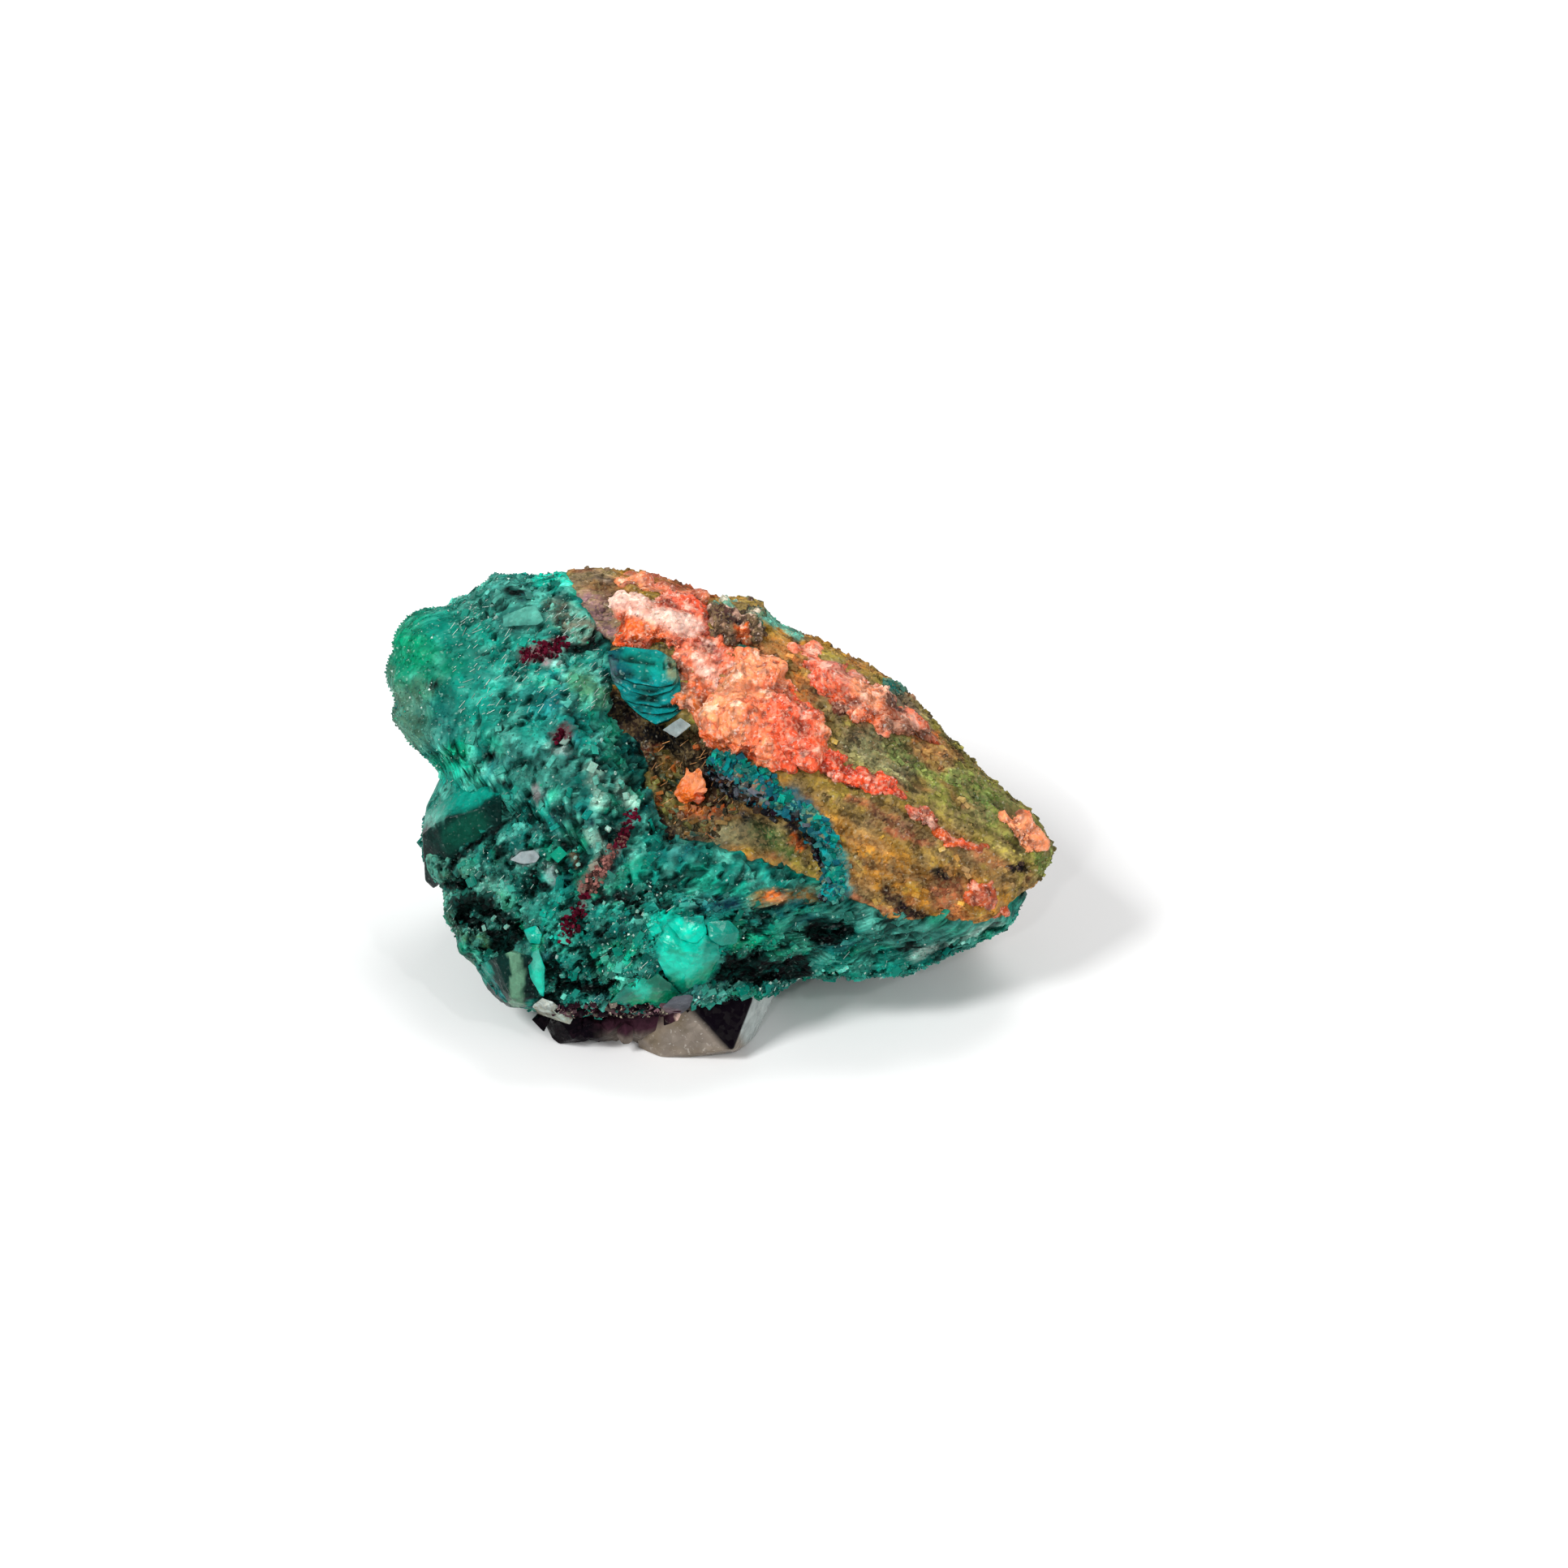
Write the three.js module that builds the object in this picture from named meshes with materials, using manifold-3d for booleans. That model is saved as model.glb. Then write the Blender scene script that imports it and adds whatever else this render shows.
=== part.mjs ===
// Dioptase specimen: green dioptase druse and pink calcite on an olive host rock.
//
// The specimen is laid out on its display face, a plane that leans back: u runs to the
// right along it, v runs up it and n stands out of it towards the viewer. Everything is
// in millimetres. The finished group is in world axes, +X right, +Y to the back, +Z up,
// with z = 0 at the flats that the specimen rests on.
//
// The rock is one pillow-shaped body, split along a curved contact into the host rock and
// the dioptase mass. The calcite bodies and loose crystals sit in sockets cut in both.

import * as THREE from 'three';
import { ConvexGeometry } from 'three/addons/geometries/ConvexGeometry.js';
import { ImprovedNoise } from 'three/addons/math/ImprovedNoise.js';
import { mergeVertices } from 'three/addons/utils/BufferGeometryUtils.js';
import Module from 'manifold-3d';

// ---------------------------------------------------------------- driving dimensions, mm

const FACE_RISE = THREE.MathUtils.degToRad(35); // the display face looks this far upwards
const ORIGIN_SHIFT = new THREE.Vector3(0.11, 0.87, 0); // puts the box's middle over the origin
const SEAT_GAP = 0.35; // clearance between a piece and its socket

const RIM_CENTRE = [0, 10.5];
const RIM_POINTS = [
  [-25, 21], [-24.4, 23.7], [-23, 25.7], [-20.4, 26.4], [-18, 28.1], [-16.1, 28.8],
  [-13.5, 28.5], [-11.5, 29], [-8.8, 29.1], [-5.4, 28.8], [-2.7, 27.8], [-0.4, 26.9],
  [1.6, 26.8], [3.2, 26.5], [4.3, 24.9], [7, 24], [10.1, 22.2], [12.4, 20.7],
  [14.3, 19.1], [17, 16.2], [20.4, 12.8], [23, 10.8], [24.4, 9.1], [24.9, 7.6],
  [23.5, 5.7], [22.2, 4.3], [21.1, 2.3], [17.7, 0.6], [13.6, -1.3], [9.2, -1.5],
  [6.3, -1.5], [4.1, -2.6], [0.8, -3.5], [-3.5, -3.9], [-7.7, -4.1], [-11.3, -4.2],
  [-14.4, -3.7], [-16.3, -2.9], [-17.8, -1.1], [-19.3, 0.5], [-20.4, 3], [-20.8, 5.1],
  [-22, 6.6], [-22.1, 10.4], [-21, 13.4], [-22.8, 16.2], [-24.3, 18.2],
];
const RIM_LEAN = 0.227; // the rim plane falls back by this much for each mm up the face
const RIM_LEVEL = 9.7; // n of the rim plane at v = 0
const FRONT_BULGE = 8;
const BACK_BULGE = 17;
const ROCK_DETAIL = 7;
const FRONT_SHARE = 1.35; // over 1, more of the sphere's points go to the front

// Broken faces of the back and the underside: outward normal as x, y, z, and distance from
// the world origin.
const BREAKS = [
  [0.75, 0.62, 0.2, 19.6], [-0.7, 0.66, 0.25, 21.5], [0.2, 0.75, 0.62, 24.6],
  [0.55, 0.2, -0.8, 8.6], [-0.6, 0.1, -0.79, 9.4], [-0.1, 0.7, -0.7, 8.2],
  [0.9, -0.1, -0.42, 15.2], [0, -0.5, -0.86, 5.6], [0.62, 0.35, 0.7, 24.9], [0.05, 1, 0.03, 14.2],
];

const UNDERSIDE = 1.3; // height of the broken underside between the feet
const FEET = [[-8.5, 6.5, 3.6], [8.5, 6, 3.6]]; // x, y and radius of the rear resting lumps
const FOOT_TOP = 5; // rock above this height takes no part in a foot
const FOOT_CUT = 0.7; // what the ground flat takes off a foot

// Dents and swells of the front: u, v of one end, u, v of the other, radius, height.
const RELIEF = [
  [-6.8, 17.4, -2.2, 11.6, 3.8, -4.6], // recess between the green mass and the slab
  [0, 9.6, 7, 6.6, 2.8, -2.2], // ledge below the slab's broken edge
  [-10.6, 18, -9.6, 9, 3.6, 0.9], // shoulder on the green side of the recess
  [-6, 1, -1, 1.6, 4.2, 1.3], // bulge that carries the bright crystals
  [-18.4, 3.2, -16.8, 1.8, 1.7, -1.8], // cavity low on the left
  [6.6, 2.1, 8.6, 2.3, 1.5, -1.9], // cavity under the slab
  [13.4, 2.2, 13.6, 2.2, 2.2, 1.5], // round lump under the slab
  [9, -0.2, 20, 0.8, 3, -2.6], // undercut below the slab's lower edge
  [-0.5, -1.2, 5.5, -0.8, 1.6, -1.4], // hollow beside the bright crystals
  [-18.8, 19, -18.4, 14.6, 1.7, -0.8], // groove behind the left lobe
  [-8.4, 24.8, -9.6, 22.6, 1.8, -1.3], // crevice under the brown patch
];

// Contact between the dioptase (left and below) and the host rock (right and above).
const CONTACT_POINTS = [
  [-13, 34], [-11.9, 29.6], [-10.6, 26.5], [-8.4, 23.4], [-7.6, 19.9], [-6.6, 16.9],
  [-5.3, 13.9], [-4.5, 10.8], [-2.2, 9], [0.8, 7.8], [4.4, 7.1], [7.5, 5.7],
  [9.3, 4.2], [12, 3.4], [15.3, 2.7], [18.4, 2.4], [21.1, 3.1], [22.7, 4.8], [30, 7.5],
];
const CONTACT_STEPS = 30;

// Rounded lumps: u, v, lift over the rock, half sizes along u, v and n, and the turn of
// the lump on the face in degrees.
const CALCITE_CAP = [
  [-5.3, 26.3, 0, 3, 2.2, 2.1, 12], [-2.3, 25.5, 0.1, 2.7, 2.3, 2, -20],
  [-3.6, 27.3, -0.5, 2.6, 1.3, 1.6, -12],
];
const CALCITE_RIDGE = [
  [0.3, 17.9, 0.5, 2.5, 3.4, 2.9, -15], [2.9, 19.8, 0.4, 3, 2.5, 2.5, -30],
  [4.9, 16.8, 0.2, 3.4, 2.4, 2.3, -40], [-0.8, 21.5, 0, 2.1, 2.1, 1.4, 0],
  [9.2, 13.9, 0, 3, 1.5, 1.4, -33], [12.9, 12, 0, 2.8, 1.2, 1.2, -28],
  [16.3, 9.8, 0, 2.6, 1, 1, -38],
];
const CALCITE_FLANK = [
  [7.3, 21.3, -0.1, 2.6, 1.8, 1.6, -25], [10.5, 19.4, 0, 2.8, 2, 1.8, -35],
  [13.9, 17.3, -0.2, 2.5, 1.4, 1.4, -35],
];
const CALCITE_TIP = [[22.5, 9.4, -0.5, 1.7, 1.5, 1.7, 0], [20.9, 9.9, -0.1, 1.3, 0.8, 0.9, -10]];
const CALCITE_SPOT = [[19.6, 4.8, -0.2, 1.8, 1.2, 1.1, -10]];
const DARK_KNOB = [[1.6, 25.2, -0.1, 2.3, 2, 2.1, 0]];
const LUMP_ROUGHNESS = 0.3; // share of the size that the surface stands in and out
const FINE_LUMP = 1.9; // a lump whose half sizes all pass this gets the finer sphere

// Layers of the cleaved block: v of the lower edge, v of the upper edge, u of the left
// end, u of the right end and height of the layer over the rock.
const BLOCK_LAYERS = [
  [21.6, 23, -8.2, -2.2, 0.9], [20.3, 21.7, -8.3, -1.4, 1.4], [19, 20.4, -7.9, -1.2, 1],
  [17.8, 19.1, -6.8, -1.2, 1.3],
];
const BLOCK_ROOT = 1.6; // how deep the block goes into the rock

// Crystals fused to the green mass: u, v, lift, width across, length, and the direction
// of the long axis as u, v and n.
const PRISMS = [
  [-19.2, 9.4, -1.6, 7.2, 6.6, 1, 0.2, -0.3], // big prism on the left edge
  [-18.6, 6, 0, 3.2, 3.4, -0.3, 0.3, 1],
  [-18.4, 0.4, -0.6, 2.4, 3.4, -0.4, 1, 0.5],
  [-15.6, -1.4, -0.4, 2.8, 4.6, 0.1, 1, 0.2], // upright prism at the lower left edge
  [-13.4, -0.8, 0, 1.5, 4.6, -0.2, 1, 0.5],
  [-2.2, 0.6, 0.6, 4, 4.4, 0.3, 0.6, 1], // bright crystals at the front
  [-4.2, -0.8, 0.4, 3, 3.6, -0.3, 0.4, 1],
  [-5.8, -2, 0, 3.2, 3.4, -0.4, -0.2, 1],
  [-14.1, 25.2, -0.6, 3, 2.4, 0.2, 0.1, 1], // flat-topped crystal near the top
  [-14.4, 7.4, 0, 1.8, 2.2, 1, -0.3, 0.6],
];

// Small crystals scattered over the green mass by the golden angle.
const GOLDEN_ANGLE = Math.PI * (3 - Math.sqrt(5));
const DRUSE = { count: 30, centre: [-13.6, 9.5], reach: 14.5, narrow: 0.55, size: 1.5 };

const PRISM_TIP = THREE.MathUtils.degToRad(40); // slope of the rhombohedral end faces

// Corners in world axes before the shift: x, y, z.
const BASE_CRYSTAL = [
  [-2.1, -12.8, 4.9], [2.5, -12.4, 5.2], [1, -13.9, 1.5], [4.2, -9, 3.2], [1.9, -12.5, 0.8],
  [1.2, -12.3, 0], [2.6, -10.4, 0], [-2.5, -12.9, 0], [-4.4, -12.9, 0], [-6, -11.8, 0],
  [-6.2, -11.8, 2.6], [4, -5, 0], [-6, -4.5, 0], [3.4, -4, 6.5], [-5, -4, 6.5], [4.6, -6, 3],
];
const CLUSTER = [
  [-11.2, -9.3, 2.1, 2.6, 3, 2.8], [-8.2, -9.2, 1.9, 2.6, 3.2, 2.7],
  [-5.4, -10, 2.4, 3.2, 2.6, 2.6],
]; // x, y, z and half sizes
const SPLINTER = { from: [-13.6, -12.2, 4.4], to: [-10.7, -12.9, 2.6], thick: 0.8, wide: 1.3 };
const RHOMB = { centre: [-3.2, 17], half: [1.1, 0.85], height: 0.9, root: 1 };
const CHIP = { centre: [-2.1, 12.4], half: [1.1, 1.3], height: 1.9, root: 0.8 };

// ---------------------------------------------------------------- display face

const ALONG_U = new THREE.Vector3(1, 0, 0);
const ALONG_V = new THREE.Vector3(0, Math.sin(FACE_RISE), Math.cos(FACE_RISE));
const ALONG_N = new THREE.Vector3(0, -Math.cos(FACE_RISE), Math.sin(FACE_RISE));
const FACE_TO_WORLD = new THREE.Matrix4().makeBasis(ALONG_U, ALONG_V, ALONG_N);

const onFace = (u, v, n) => new THREE.Vector3(u, v, n).applyMatrix4(FACE_TO_WORLD);
const turnFromFace = (u, v, n) => onFace(u, v, n).normalize();

// ---------------------------------------------------------------- noise and blending

const noiseField = new ImprovedNoise();
const roughness = (p, scale) => noiseField.noise(p.x / scale, p.y / scale, p.z / scale);

function ease(from, to, x) {
  const t = THREE.MathUtils.clamp((x - from) / (to - from), 0, 1);
  return t * t * (3 - 2 * t);
}

// ---------------------------------------------------------------- rim of the rock

const rimCurve = new THREE.CatmullRomCurve3(
  RIM_POINTS.map(([u, v]) => new THREE.Vector3(u, v, 0)), true, 'centripetal');
const rimTable = rimCurve.getPoints(480)
  .map((p) => {
    const [du, dv] = [p.x - RIM_CENTRE[0], p.y - RIM_CENTRE[1]];
    return { angle: Math.atan2(dv, du), radius: Math.hypot(du, dv) };
  })
  .sort((a, b) => a.angle - b.angle);

/** Distance from the rim's centre to the rim in the direction of an angle. */
function rimRadius(angle) {
  const last = rimTable.length - 1;
  const above = rimTable.findIndex((entry) => entry.angle >= angle);
  if (above <= 0) return rimTable[above === 0 ? 0 : last].radius;
  const [a, b] = [rimTable[above - 1], rimTable[above]];
  const share = (angle - a.angle) / Math.max(b.angle - a.angle, 1e-9);
  return THREE.MathUtils.lerp(a.radius, b.radius, share);
}

const rimLevel = (v) => RIM_LEVEL - RIM_LEAN * v;

// ---------------------------------------------------------------- front of the rock

/** Distance in the face from a point to the stretch between two points. */
function distanceToStretch(u, v, [u1, v1, u2, v2]) {
  const [du, dv] = [u2 - u1, v2 - v1];
  const share = ((u - u1) * du + (v - v1) * dv) / (du * du + dv * dv);
  const t = THREE.MathUtils.clamp(share, 0, 1);
  return Math.hypot(u - u1 - t * du, v - v1 - t * dv);
}

/** Sum of the dents and swells, each falling off smoothly to nothing at its radius. */
function relief(u, v) {
  return RELIEF.reduce((sum, [u1, v1, u2, v2, radius, height]) => {
    const d = distanceToStretch(u, v, [u1, v1, u2, v2]) / radius;
    return d < 1 ? sum + height * (1 - d * d) ** 2 : sum;
  }, 0);
}

/** n of the rock's front at a place on the face. */
function frontLevel(u, v) {
  const [du, dv] = [u - RIM_CENTRE[0], v - RIM_CENTRE[1]];
  const share = Math.min(Math.hypot(du, dv) / rimRadius(Math.atan2(dv, du)), 1);
  const crown = Math.sqrt(1 - share * share);
  return rimLevel(v) + FRONT_BULGE * crown ** 0.7 + relief(u, v) * ease(0, 0.35, crown);
}

// ---------------------------------------------------------------- solids

const wasm = await Module();
wasm.setup();

/** A closed three.js geometry as a solid that can be joined and cut. */
function solid(geometry) {
  geometry.deleteAttribute('normal');
  geometry.deleteAttribute('uv');
  const merged = mergeVertices(geometry, 1e-5);
  return new wasm.Manifold(new wasm.Mesh({
    numProp: 3,
    vertProperties: new Float32Array(merged.attributes.position.array),
    triVerts: new Uint32Array(merged.index.array),
  }));
}

const joined = (solids) => solids.reduce((all, one) => all.add(one));
const without = (body, cutters) => cutters.reduce((rest, cutter) => rest.subtract(cutter), body);

/** Moves every vertex of a geometry by a function of its position. */
function shaped(geometry, move) {
  const position = geometry.attributes.position;
  const point = new THREE.Vector3();
  for (let i = 0; i < position.count; i += 1) {
    const moved = move(point.fromBufferAttribute(position, i));
    position.setXYZ(i, moved.x, moved.y, moved.z);
  }
  return geometry;
}

/** Lifts the underside clear of the ground, apart from two lumps that reach down to it. */
function standing(p) {
  const nearest = Math.min(...FEET.map(([x, y, radius]) => Math.hypot(p.x - x, p.y - y) / radius));
  const foot = p.z < FOOT_TOP ? 1 - ease(0.6, 1.4, nearest) : 0;
  const rough = UNDERSIDE + 0.5 * Math.abs(roughness(p, 3));
  p.z = THREE.MathUtils.lerp(Math.max(p.z, rough), -FOOT_CUT, foot);
  return p;
}

/** Draws a direction towards the front, by scaling it on the plane seen from behind. */
function towardsFront(d) {
  const scale = 1 / (FRONT_SHARE * Math.max(1 + d.z, 1e-6));
  const [a, b] = [d.x * scale, d.y * scale];
  const square = a * a + b * b;
  return new THREE.Vector3(2 * a, 2 * b, 1 - square).divideScalar(1 + square);
}

/** Lays whatever stands past a broken face back onto it. */
function broken(p) {
  for (const [x, y, z, distance] of BREAKS) {
    const normal = new THREE.Vector3(x, y, z).normalize();
    const past = normal.dot(p) - distance - 0.5 * roughness(p, 2.5);
    if (past > 0) p.addScaledVector(normal, -past);
  }
  return p;
}

/** The whole rock: a sphere drawn out to the rim, crowned in front and broken behind. */
function rockBody() {
  return solid(shaped(new THREE.IcosahedronGeometry(1, ROCK_DETAIL), (point) => {
    const d = towardsFront(point);
    const reach = rimRadius(Math.atan2(d.y, d.x));
    const u = RIM_CENTRE[0] + d.x * reach;
    const v = RIM_CENTRE[1] + d.y * reach;
    const depth = Math.abs(d.z);
    const level = d.z > 0 ? frontLevel(u, v) : rimLevel(v) - BACK_BULGE * depth ** 0.8;
    const p = onFace(u, v, level);
    const rough = 1.5 * roughness(p, 4.5) + 0.9 * roughness(p, 2.1);
    p.addScaledVector(ALONG_N, rough * ease(0, 0.5, depth));
    if (d.z < 0) broken(p);
    return standing(p);
  }));
}

/** The host rock's side of the contact, as a prism that covers it and runs right through. */
function hostSide(gap) {
  const contact = new THREE.SplineCurve(CONTACT_POINTS.map(([u, v]) => new THREE.Vector2(u, v)));
  const edge = contact.getPoints(CONTACT_STEPS).map((p, i) => {
    const tangent = contact.getTangent(i / CONTACT_STEPS);
    return p.add(new THREE.Vector2(tangent.y, -tangent.x).multiplyScalar(gap));
  });
  const outline = new THREE.Shape([...edge, new THREE.Vector2(40, 40), new THREE.Vector2(-10, 44)]);
  const deep = 45;
  const prism = new THREE.ExtrudeGeometry(outline, { depth: 2 * deep, bevelEnabled: false });
  prism.translate(0, 0, -deep);
  return solid(prism.applyMatrix4(FACE_TO_WORLD));
}

/** A rough rounded lump; grown by some amount it is the socket that the lump sits in. */
function lump(centre, half, turn, grow, detail) {
  return solid(shaped(new THREE.IcosahedronGeometry(1, detail), (d) => {
    const wobble = 1 + LUMP_ROUGHNESS * roughness(d.clone().add(centre), 0.7);
    const size = new THREE.Vector3(...half).multiplyScalar(wobble).addScalar(grow);
    return d.clone().multiply(size).applyMatrix4(turn).add(centre);
  }));
}

/** Lumps that sit on the rock's front, grown together. */
function lumps(places, grow = 0) {
  return joined(places.map(([u, v, lift, ru, rv, rn, degrees]) => {
    const turn = new THREE.Matrix4().makeRotationZ(THREE.MathUtils.degToRad(degrees));
    const detail = Math.min(ru, rv) > FINE_LUMP ? 2 : 1;
    const centre = onFace(u, v, frontLevel(u, v) + lift);
    return lump(centre, [ru, rv, rn], turn.premultiply(FACE_TO_WORLD), grow, detail);
  }));
}

/** A crystal: six-sided prism with a three-faced end at the front. */
function crystal(centre, direction, width, length) {
  const radius = width / 2;
  const fall = radius * Math.tan(PRISM_TIP);
  const corners = [new THREE.Vector3(0, 0, length / 2)];
  for (let k = 0; k < 6; k += 1) {
    const angle = (k * Math.PI) / 3;
    const shoulder = length / 2 - fall * (k % 2 === 0 ? 1 : 0.5);
    const [x, y] = [radius * Math.cos(angle), radius * Math.sin(angle)];
    corners.push(new THREE.Vector3(x, y, shoulder), new THREE.Vector3(x, y, -length / 2));
  }
  const turn = new THREE.Quaternion().setFromUnitVectors(new THREE.Vector3(0, 0, 1), direction);
  return solid(new ConvexGeometry(corners.map((p) => p.applyQuaternion(turn).add(centre))));
}

/** The larger crystals of the green mass. */
function prisms() {
  return joined(PRISMS.map(([u, v, lift, width, length, du, dv, dn]) =>
    crystal(onFace(u, v, frontLevel(u, v) + lift), turnFromFace(du, dv, dn), width, length)));
}

/** Small crystals over the green mass, leaning this way and that. */
function druse() {
  const places = Array.from({ length: DRUSE.count }, (_, i) => {
    const reach = DRUSE.reach * Math.sqrt((i + 0.5) / DRUSE.count);
    const angle = i * GOLDEN_ANGLE;
    const u = DRUSE.centre[0] + DRUSE.narrow * reach * Math.cos(angle);
    const v = DRUSE.centre[1] + reach * Math.sin(angle);
    const lean = turnFromFace(0.6 * Math.cos(5 * angle), 0.6 * Math.sin(3 * angle), 1);
    const size = DRUSE.size * (0.75 + 0.5 * Math.abs(Math.sin(7 * i)));
    return crystal(onFace(u, v, frontLevel(u, v) - 0.1), lean, size, 1.9 * size);
  });
  return joined(places);
}

/** A convex body from corners, grown away from its middle for a socket. */
function hull(corners, grow = 0) {
  const middle = corners.reduce((sum, p) => sum.clone().add(p), new THREE.Vector3())
    .divideScalar(corners.length);
  const grown = corners.map((p) => {
    const away = p.clone().sub(middle);
    return p.clone().addScaledVector(away.normalize(), 1.7 * grow);
  });
  return solid(new ConvexGeometry(grown));
}

/** The teal block: layers parted by cleavage, one solid. */
function cleavedBlock(grow = 0) {
  return joined(BLOCK_LAYERS.map(([low, high, left, right, height]) => {
    const middle = frontLevel((left + right) / 2, (low + high) / 2);
    const corners = [];
    for (const u of [left, right]) {
      for (const v of [low, high]) {
        corners.push(onFace(u, v, middle + height - 0.35 * (v - low)));
        corners.push(onFace(u * 0.94 - 0.3, v, middle - BLOCK_ROOT));
      }
    }
    return hull(corners, grow);
  }));
}

/** A lozenge that stands out of the rock, with a flat or a pointed top. */
function lozenge({ centre: [u, v], half: [a, b], height, root }, topShare, grow = 0) {
  const ground = frontLevel(u, v);
  const corners = [];
  for (const [du, dv] of [[a, 0], [0, b], [-a, 0], [0, -b]]) {
    corners.push(onFace(u + du * topShare, v + dv * topShare, ground + height));
    corners.push(onFace(u + du, v + dv, ground - root));
  }
  return hull(corners, grow);
}

/** The splinter, a thin bar between two points. */
function splinter(grow = 0) {
  const [from, to] = [new THREE.Vector3(...SPLINTER.from), new THREE.Vector3(...SPLINTER.to)];
  const run = to.clone().sub(from).normalize();
  const side = run.clone().cross(new THREE.Vector3(0, 1, 0)).normalize();
  const out = run.clone().cross(side);
  const corners = [from, to].flatMap((end, i) => [-1, 1].flatMap((s) => [-1, 1].map((t) =>
    end.clone()
      .addScaledVector(side, (s * SPLINTER.wide * (i ? 0.3 : 0.5)))
      .addScaledVector(out, (t * SPLINTER.thick) / 2))));
  return hull(corners, grow);
}

const baseCrystal = (grow = 0) => hull(BASE_CRYSTAL.map((c) => new THREE.Vector3(...c)), grow);

/** The dark cluster of rounded crystals. */
function darkCluster(grow = 0) {
  return joined(CLUSTER.map(([x, y, z, ...half]) =>
    lump(new THREE.Vector3(x, y, z), half, new THREE.Matrix4(), grow, 1)));
}

// ---------------------------------------------------------------- pieces

// Each seated piece is a function of how far it is grown. A piece gives way to the ones
// before it in the list, and the rock gives way to them all.
const SEATED = [
  ['pale_splinter', splinter],
  ['base_crystal', baseCrystal],
  ['dark_cluster', darkCluster],
  ['grey_rhomb', (grow) => lozenge(RHOMB, 0.9, grow)],
  ['calcite_chip', (grow) => lozenge(CHIP, 0.25, grow)],
  ['calcite_ridge', (grow) => lumps(CALCITE_RIDGE, grow)],
  ['cleaved_block', cleavedBlock],
  ['calcite_cap', (grow) => lumps(CALCITE_CAP, grow)],
  ['dark_knob', (grow) => lumps(DARK_KNOB, grow)],
  ['calcite_flank', (grow) => lumps(CALCITE_FLANK, grow)],
  ['calcite_tip', (grow) => lumps(CALCITE_TIP, grow)],
  ['calcite_spot', (grow) => lumps(CALCITE_SPOT, grow)],
];
const sockets = SEATED.map(([, make]) => make(SEAT_GAP));
const belowGround = solid(new THREE.BoxGeometry(80, 80, 20).translate(0, 0, -10));
const rock = rockBody().subtract(belowGround);

const pieces = {
  host_rock: without(rock.intersect(hostSide(0)), sockets),
  dioptase_mass: without(joined([rock, prisms(), druse()]), [hostSide(SEAT_GAP), ...sockets]),
};
SEATED.forEach(([name, make], i) => {
  pieces[name] = without(make(0), [belowGround, ...sockets.slice(0, i)]);
});

// ---------------------------------------------------------------- scene graph

const LOOKS = {
  host_rock: [0x93894f, 0.85, 0],
  dioptase_mass: [0x12806d, 0.35, 0],
  calcite_cap: [0xe8a488, 0.6, 0],
  calcite_ridge: [0xee8c6a, 0.6, 0],
  calcite_flank: [0xe07653, 0.6, 0],
  calcite_tip: [0xeba07c, 0.6, 0],
  calcite_spot: [0xe0653a, 0.6, 0],
  calcite_chip: [0xe8862f, 0.6, 0],
  cleaved_block: [0x0f7f74, 0.3, 0],
  grey_rhomb: [0xa3aaa6, 0.3, 0],
  dark_knob: [0x6b5348, 0.7, 0],
  base_crystal: [0x2c2a2b, 0.15, 0],
  dark_cluster: [0x241a20, 0.25, 0],
  pale_splinter: [0xa89a8c, 0.5, 0],
};

/** A solid as a named mesh with its own material. */
function meshOf(name, body) {
  const { vertProperties, triVerts } = body.getMesh();
  const geometry = new THREE.BufferGeometry();
  geometry.setAttribute('position', new THREE.BufferAttribute(new Float32Array(vertProperties), 3));
  geometry.setIndex(new THREE.BufferAttribute(new Uint32Array(triVerts), 1));
  geometry.computeVertexNormals();
  const [color, rough, metalness] = LOOKS[name];
  const material = new THREE.MeshStandardMaterial({ color, roughness: rough, metalness, flatShading: true });
  const mesh = new THREE.Mesh(geometry, material);
  mesh.name = name;
  return mesh;
}

const specimen = new THREE.Group();
Object.entries(pieces).forEach(([name, body]) => specimen.add(meshOf(name, body)));
specimen.position.copy(ORIGIN_SHIFT);

export default specimen;
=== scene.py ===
# %% [markdown]
# # A dioptase specimen on calcite and olive host rock
# The packed model gives the solids of a 50 mm long specimen. Each surface below is worked out
# with numpy as whole arrays and laid over the solid it stands for.

import bmesh
import bpy
import numpy as np
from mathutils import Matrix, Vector


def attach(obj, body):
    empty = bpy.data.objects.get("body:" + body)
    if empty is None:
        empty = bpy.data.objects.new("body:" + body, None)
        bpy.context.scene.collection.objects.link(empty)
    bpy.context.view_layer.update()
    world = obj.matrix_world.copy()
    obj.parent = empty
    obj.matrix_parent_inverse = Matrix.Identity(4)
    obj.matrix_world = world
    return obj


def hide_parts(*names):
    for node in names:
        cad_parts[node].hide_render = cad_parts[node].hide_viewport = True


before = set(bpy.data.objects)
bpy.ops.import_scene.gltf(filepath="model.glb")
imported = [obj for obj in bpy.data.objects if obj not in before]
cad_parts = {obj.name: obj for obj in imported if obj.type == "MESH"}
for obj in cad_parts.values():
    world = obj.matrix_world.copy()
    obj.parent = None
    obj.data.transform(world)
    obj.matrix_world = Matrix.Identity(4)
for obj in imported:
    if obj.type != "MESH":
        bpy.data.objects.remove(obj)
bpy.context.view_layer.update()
print("nodes:", sorted(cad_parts))

# %% [markdown]
# ## The display face
# A specimen is looked at on its best side, which leans back here. Its points are written as u to
# the right, v up the face and n out of it, in mm, so everything can be drawn as a relief seen
# straight on.

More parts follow.
